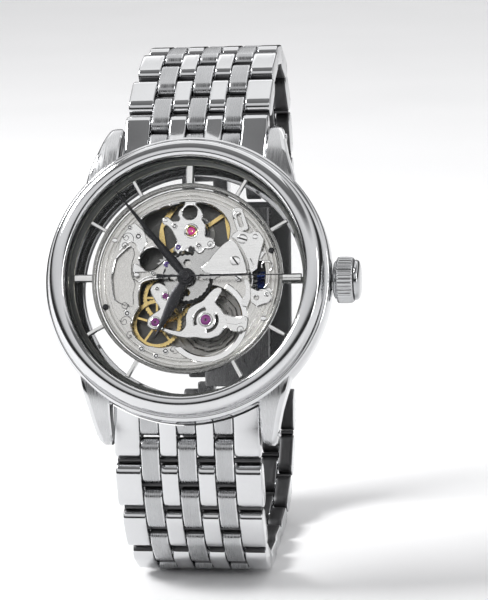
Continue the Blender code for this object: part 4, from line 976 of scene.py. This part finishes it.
def blade(stations, low, high, angle):
    """A hand's blade: (distance, half width) stations carry a ridged section along its length."""
    reach, half = np.asarray(stations, float).T
    t = np.linspace(reach[0], reach[-1], 40)
    width = np.interp(t, reach, half)[:, None]
    turn = math.radians(angle)
    across = width * HAND_EDGE
    x = across * math.cos(turn) + t[:, None] * math.sin(turn)
    y = t[:, None] * math.cos(turn) - across * math.sin(turn)
    return grid(in_dial(x, y, low + (high - low) * HAND_RISE + 0 * x))


def hub(outer, inner, low, high):
    """A turned hub with a rounded rim, bored through."""
    return turned(rounded([(outer, low), (outer, high - 0.02), (outer - 0.08, high + 0.04),
                           (inner, high + 0.04), (inner, low)], 0.05, 4), 48)


piece("hour_hand_leaf", [blade([(0.9, 0.55), (1.8, 0.68), (3.0, 0.86), (4.4, 0.76), (7.0, 0.42),
                                (9.7, 0.06)], 0.84, 1.04, 206), hub(1.25, 0.80, 0.84, 1.04)],
      [charcoal], "hours", ["hour_hand"], 40)
piece("minute_hand_leaf", [blade([(0.6, 0.5), (2.6, 0.64), (4.5, 0.56), (8.5, 0.32),
                                  (15.8, 0.08)], 1.28, 1.46, 320), hub(1.0, 0.40, 1.28, 1.46)],
      [charcoal], "minutes", ["minute_hand"], 40)
piece("seconds_hand_needle", [
    blade([(-4.0, 0.34), (-3.4, 0.30), (-2.4, 0.15), (0, 0.12), (16.0, 0.06)], 1.66, 1.80, 89.5),
    turned([(0.6, 1.66), (0.6, 1.80), (0.52, 1.88), (0.26, 1.90), (0.22, 1.86), (0.05, 1.86)], 40,
           closed=False)], [charcoal], "seconds", ["seconds_hand"], 40)

# ---- studio ----
# A pale seamless floor, one wide soft light above, a narrower one on each side, and a long lens.
floor_sheen = surface("floor_sheen", (0.93, 0.93, 0.935), 0.6, metal=0.0, grain=14,
                      spread=0.05, relief=0.02, tint=0.01)
FLOOR_COUNT, FLOOR_LEVEL = 31, -0.00002
across = np.linspace(-3.0, 3.0, FLOOR_COUNT)
floor_x, floor_y = np.meshgrid(across, across)
floor_mesh = bpy.data.meshes.new("floor")
number = np.arange(FLOOR_COUNT ** 2).reshape(FLOOR_COUNT, FLOOR_COUNT)
floor_mesh.from_pydata(
    np.stack([floor_x, floor_y, 0 * floor_x + FLOOR_LEVEL], -1).reshape(-1, 3).tolist(), [],
    np.stack([number[:-1, :-1], number[:-1, 1:], number[1:, 1:], number[1:, :-1]],
             -1).reshape(-1, 4).tolist())
floor_mesh.materials.append(floor_sheen)
floor = bpy.data.objects.new("floor", floor_mesh)
bpy.context.scene.collection.objects.link(floor)

world = bpy.data.worlds.new("studio")
world.use_nodes = True
bpy.context.scene.world = world
room = world.node_tree
where = add_node(room, "TexCoord")
apart = add_node(room, "SeparateXYZ", Vector=where.outputs["Generated"])
height = add_node(room, "MapRange", Value=apart.outputs["Z"], From_Min=-1, From_Max=1)
walls = add_node(room, "ValToRGB", Fac=height.outputs["Result"])
# grey at each height, from straight down to straight up: dark above the horizon, then bright
WALL_TONES = [(0.0, 0.3), (0.49, 0.3), (0.53, 0.03), (0.62, 0.06), (0.69, 0.9), (0.81, 1.2),
              (0.87, 0.18), (1.0, 0.35)]
ramp = walls.color_ramp
for position, tone in WALL_TONES[1:-1]:
    ramp.elements.new(position)
for element, (position, tone) in zip(ramp.elements, WALL_TONES):
    element.position = position
    element.color = (tone, tone, tone * 1.01, 1)
room.links.new(walls.outputs["Color"], room.nodes["Background"].inputs["Color"])
room.nodes["Background"].inputs["Strength"].default_value = 0.85


def softbox(name, at, aim, size, power):
    """A flat soft light at a place in metres, turned to face its aim."""
    light = bpy.data.lights.new(name, "AREA")
    light.shape = "RECTANGLE"
    light.size, light.size_y = size
    light.energy = power
    made = bpy.data.objects.new(name, light)
    made.location = at
    made.rotation_euler = (Vector(aim) - Vector(at)).to_track_quat("-Z", "Y").to_euler()
    bpy.context.scene.collection.objects.link(made)


softbox("overhead", (0.0, 1.25, 2.0), (0, 1.1, 0), (2.6, 2.6), 20.0)
softbox("left_key", (-0.55, -0.10, 0.60), (0, 0, 0.02), (0.30, 0.30), 6.2)
softbox("right_wall", (0.62, -0.22, 0.20), (0, 0, 0.04), (0.10, 0.4), 0.7)

AZIMUTH, ELEVATION, DISTANCE = math.radians(9.24), math.radians(11.53), 0.317
TARGET = Vector((0.00565, 0, 0.0388))
ROLL, SENSOR = math.radians(2.115), 36.0
lens = bpy.data.cameras.new("camera")
lens.sensor_fit = "VERTICAL"
lens.sensor_height = lens.sensor_width = SENSOR
lens.lens = SENSOR * 3.638
lens.clip_start = 0.01
camera = bpy.data.objects.new("camera", lens)
bpy.context.scene.collection.objects.link(camera)
towards = Vector((-math.sin(AZIMUTH) * math.cos(ELEVATION), math.cos(AZIMUTH) * math.cos(ELEVATION),
                  -math.sin(ELEVATION)))
turn = towards.to_track_quat("-Z", "Y").to_matrix() @ Matrix.Rotation(-ROLL, 3, "Z")
camera.matrix_world = Matrix.Translation(TARGET - towards * DISTANCE) @ turn.to_4x4()
bpy.context.scene.camera = camera
bpy.context.scene.view_settings.view_transform = "Standard"
